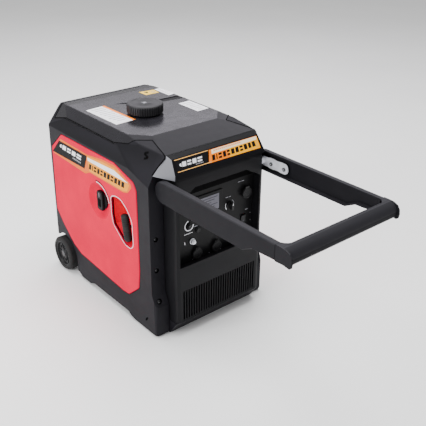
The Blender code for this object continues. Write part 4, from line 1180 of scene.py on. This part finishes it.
def make_socket_face(name, centre):
    """Pale face with three contact slots drawn as painted shade, seen when the lid is open."""
    b = Batch()
    for u in spokes(3, radians(90)):
        spot = centre + u * 0.0068
        b.slab(panel, oblong(spot.x, spot.y, 0.0012, 0.0024, 0.0005, 2), 0.0, 0.0006, "painted_shade")
    b.lathe(panel, centre, puck(*FILM, 0.0118), "dim_white", 32)
    b.done("socket_face_" + name, "casing", 30)


def make_connector_cap():
    x, z = CONNECTOR
    near, out = depth_of("connector_cap")
    b = Batch()
    profile = [(near, 0.0), (near, 0.0174), (near + 0.001, 0.0181), (out - 0.001, 0.0181), (out, 0.017),
               (out, 0.014), (out - 0.001, 0.013), (out - 0.001, 0.0)]
    b.lathe(panel, CONNECTOR, profile, "lid", 40)
    b.slab(panel, oblong(x, z + 0.0182, 0.0078, 0.0032, 0.001, 3), near + 0.0002, out - 0.0002, "black",
           0.0004)
    b.slab(panel, oblong(x, z - 0.016, 0.005, 0.0018, 0.0006, 2), out - 0.001, out + 0.0006, "black",
           0.0004)
    for u in spokes(6):
        pin = puck(out - 0.0012, out - 0.0006, 0.0016, 0.0014)
        b.lathe(panel, Vector(CONNECTOR) + u * 0.008, pin, "black", 12)
    b.done("connector_cap_ringed", "connector_lid", 30, ("connector_cap",))


def make_ground():
    b = Batch()
    out = PANEL_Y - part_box("ground_terminal")[0].y
    b.lathe(panel, GROUND, [(0.0004, 0.0), (0.0004, 0.0094), (0.0022, 0.0094), (0.0026, 0.0086),
                            (0.0026, 0.0)], "zinc", 36)
    hexagon = [Vector(GROUND) + u * 0.0084 for u in spokes(6)]
    b.slab(panel, hexagon, 0.0024, 0.01, "zinc", 0.0008)
    thread = [(0.009, 0.0)]
    for k in range(5):
        thread += [(0.01 + 0.001 * k, 0.0032), (0.0105 + 0.001 * k, 0.0037)]
    thread += [(out - 0.0003, 0.003), (out, 0.0)]
    b.lathe(panel, GROUND, thread, "zinc", 20)
    b.done("ground_stud", "casing", 30, ("ground_terminal",))


# ---- handle and wheels ----
RIVETS = ((-0.357, 0.493), (-0.411, 0.493))
BRACKET_X = 0.186               # inner face of a bracket, from the middle plane
RIVET_HEAD = [(0.002, 0.0), (0.002, 0.006), (0.0032, 0.006), (0.0044, 0.0046), (0.0048, 0.0024),
              (0.0048, 0.0)]
# Corners of a wheel's spoke: distance from the axle, and half width to one side or the other.
SPOKE = ((0.0155, 0.0016), (0.0395, 0.0011), (0.0395, -0.0011), (0.0155, -0.0016))


def upper_highlight_test(normal, centre):
    """The upper corners of the sleeves, painted a little paler as a painted highlight."""
    return normal.z > 0.35


def make_handle():
    for node in ("handle_arm_left", "handle_arm_right", "handle_crossbar"):
        soften(node, "handle", 0.0016, paint=[(upper_highlight_test, "handle_top_highlight")])
    for side, name in ((-1, "left"), (1, "right")):
        soften("handle_bracket_" + name, "zinc", 0.0004)

        def inner(y, z, height):
            return at(side * (BRACKET_X - height), y, z)

        b = Batch()
        for y, z in RIVETS:
            b.lathe(inner, (y, z), RIVET_HEAD, "dark_steel", 28)
            b.lathe(inner, (y, z), puck(0.0046, 0.0052, 0.0018, 0.0016), "zinc", 16)
            b.frame(inner, oblong(y, z, 0.0066, 0.0066, 0.0065, 6), oblong(y, z, 0.0092, 0.0092, 0.009, 6),
                    -0.0002, 0.0008, "zinc")
        b.done("bracket_rivets_" + name, "handle")


def reach_of(node):
    """Inner and outer distance of a side part from the middle plane."""
    low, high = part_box(node)
    return sorted((abs(low.x), abs(high.x)))


def make_tyre(name, place):
    inner, outer = reach_of(name + "_wheel_tyre")
    low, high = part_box(name + "_wheel_tyre")
    radius = (high.z - low.z) / 2.0
    b = Batch()
    profile = [(inner, 0.0463), (inner, 0.054), (inner + 0.0012, 0.0556), (inner + 0.004, 0.06)]
    for k in range(5):
        spot = inner + 0.0075 + 0.0058 * k
        profile += [(spot - 0.0019, radius - 0.0002), (spot + 0.0019, radius - 0.0002),
                    (spot + 0.0022, radius - 0.0014), (spot + 0.0036, radius - 0.0014)]
    profile += [(outer - 0.004, 0.06), (outer - 0.0012, 0.057), (outer - 0.0002, 0.0545),
                (outer - 0.001, 0.0532), (outer - 0.0002, 0.052), (outer, 0.0463)]
    b.loft_ring(place, profile, "tyre", 64)
    b.done(name + "_tyre_grooved", name + "_wheel", 34, (name + "_wheel_tyre",))


def make_hub(name, place):
    near, far = reach_of(name + "_wheel_hub")
    b = Batch()
    rim = [(near + 0.003, 0.041), (near + 0.003, 0.046), (far, 0.046), (far + 0.0004, 0.0448),
           (far - 0.001, 0.042), (far - 0.008, 0.04), (far - 0.009, 0.0385), (far - 0.0095, 0.018),
           (far - 0.004, 0.015), (far - 0.003, 0.014), (far - 0.003, 0.0066), (near + 0.0002, 0.0066),
           (near + 0.0002, 0.014), (near + 0.012, 0.0165), (near + 0.012, 0.0395)]
    b.loft_ring(place, rim, "hub", 56)
    pocket = [(far - 0.0096, 0.0), (far - 0.0096, 0.0052), (far - 0.009, 0.0056), (far - 0.0088, 0.0)]
    for u, gap in zip(spokes(6), spokes(6, 0.52)):
        n = Vector((-u.y, u.x))
        spoke = [u * reach + n * half for reach, half in SPOKE]
        b.slab(place, spoke, far - 0.01, far - 0.006, "hub", 0.0006)
        # a near-black disc of painted shade sits in each gap between the spokes
        b.lathe(place, gap * 0.0285, pocket, "painted_shade", 20)
    b.done(name + "_hub_spoked", name + "_wheel", 34, (name + "_wheel_hub",))


def make_wheels():
    for side, name in ((-1, "left"), (1, "right")):
        centre = middle(name + "_wheel_tyre")

        def place(a, b, height):
            return Vector((side * height, centre.y + a, centre.z + b))

        make_tyre(name, place)
        make_hub(name, place)


def make_axle():
    centre = middle("rear_axle")
    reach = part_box("rear_axle")[1].x

    def place(a, b, height):
        return Vector((height, centre.y + a, centre.z + b))

    half = [(0.0, 0.006), (reach - 0.003, 0.006), (reach - 0.003, 0.0098), (reach - 0.0012, 0.0104),
            (reach - 0.0004, 0.0094), (reach - 0.0002, 0.005), (reach - 0.0008, 0.0044),
            (reach - 0.0008, 0.0)]
    b = Batch()
    b.lathe(place, (0, 0), mirrored(half), "dark_steel", 32)
    b.done("axle_capped", "casing", 34, ("rear_axle",))


# ---- back, and what is inside ----
BORE = 0.0192                   # of the tail pipe


def make_exhaust():
    low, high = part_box("exhaust_outlet")
    centre = middle("exhaust_outlet")

    def place(a, b, height):
        return Vector((centre.x + a, height, centre.z + b))

    b = Batch()
    b.loft_ring(place, [(low.y, BORE), (low.y, 0.0296), (high.y - 0.004, 0.03), (high.y - 0.001, 0.0294),
                        (high.y, 0.028), (high.y, 0.021), (high.y - 0.002, 0.0194)], "steel", 48)
    for k in range(9):
        reach = -0.0176 + 0.0044 * k
        half = sqrt(BORE ** 2 - reach ** 2)
        upright = [place(reach, end * half, high.y - 0.012) for end in (-1, 1)]
        level = [place(end * half, reach, high.y - 0.013) for end in (-1, 1)]
        for wire in (upright, level):
            b.tube(wire, 0.0005, "dark_steel", 5)
    b.done("tail_pipe_screened", "casing", 34, ("exhaust_outlet",))


SLOT_LOOKS = {
    "shell_plastic": "shell", "red_plastic": "red", "panel_plastic": "panel", "tank_plastic": "tank",
    "hub_plastic": "hub", "button_black": "black", "button_white": "dim_white", "display": "lcd",
    "rubber": "rubber", "grip_rubber": "grip", "tyre": "tyre", "rope": "rope", "zinc": "zinc",
    "steel": "steel", "black_steel": "dark_steel", "cast_aluminium": "cast", "iron": "iron",
    "copper_wound": "copper",
}


def dress_frame():
    """Every CAD node gets the look of the slot that it was packed with."""
    for obj in NODES.values():
        look = M[SLOT_LOOKS[obj.data.materials[0].name]]
        obj.data.materials.clear()
        obj.data.materials.append(look)


def main():
    make_camera()
    make_stage()
    dress_frame()
    make_casing()
    side_decal(left_face, "left_decal")
    side_decal(right_face, "right_decal")
    starter_side_prints_and_shade()
    visor_decal()
    deck_labels()
    make_fuel_cap()
    make_switch()
    make_grip()
    make_rope()
    make_display()
    make_panel_prints_and_shadow()
    make_selector()
    make_buttons()
    make_rocker()
    make_lids()
    make_connector_cap()
    make_ground()
    make_handle()
    make_wheels()
    make_axle()
    make_exhaust()


main()
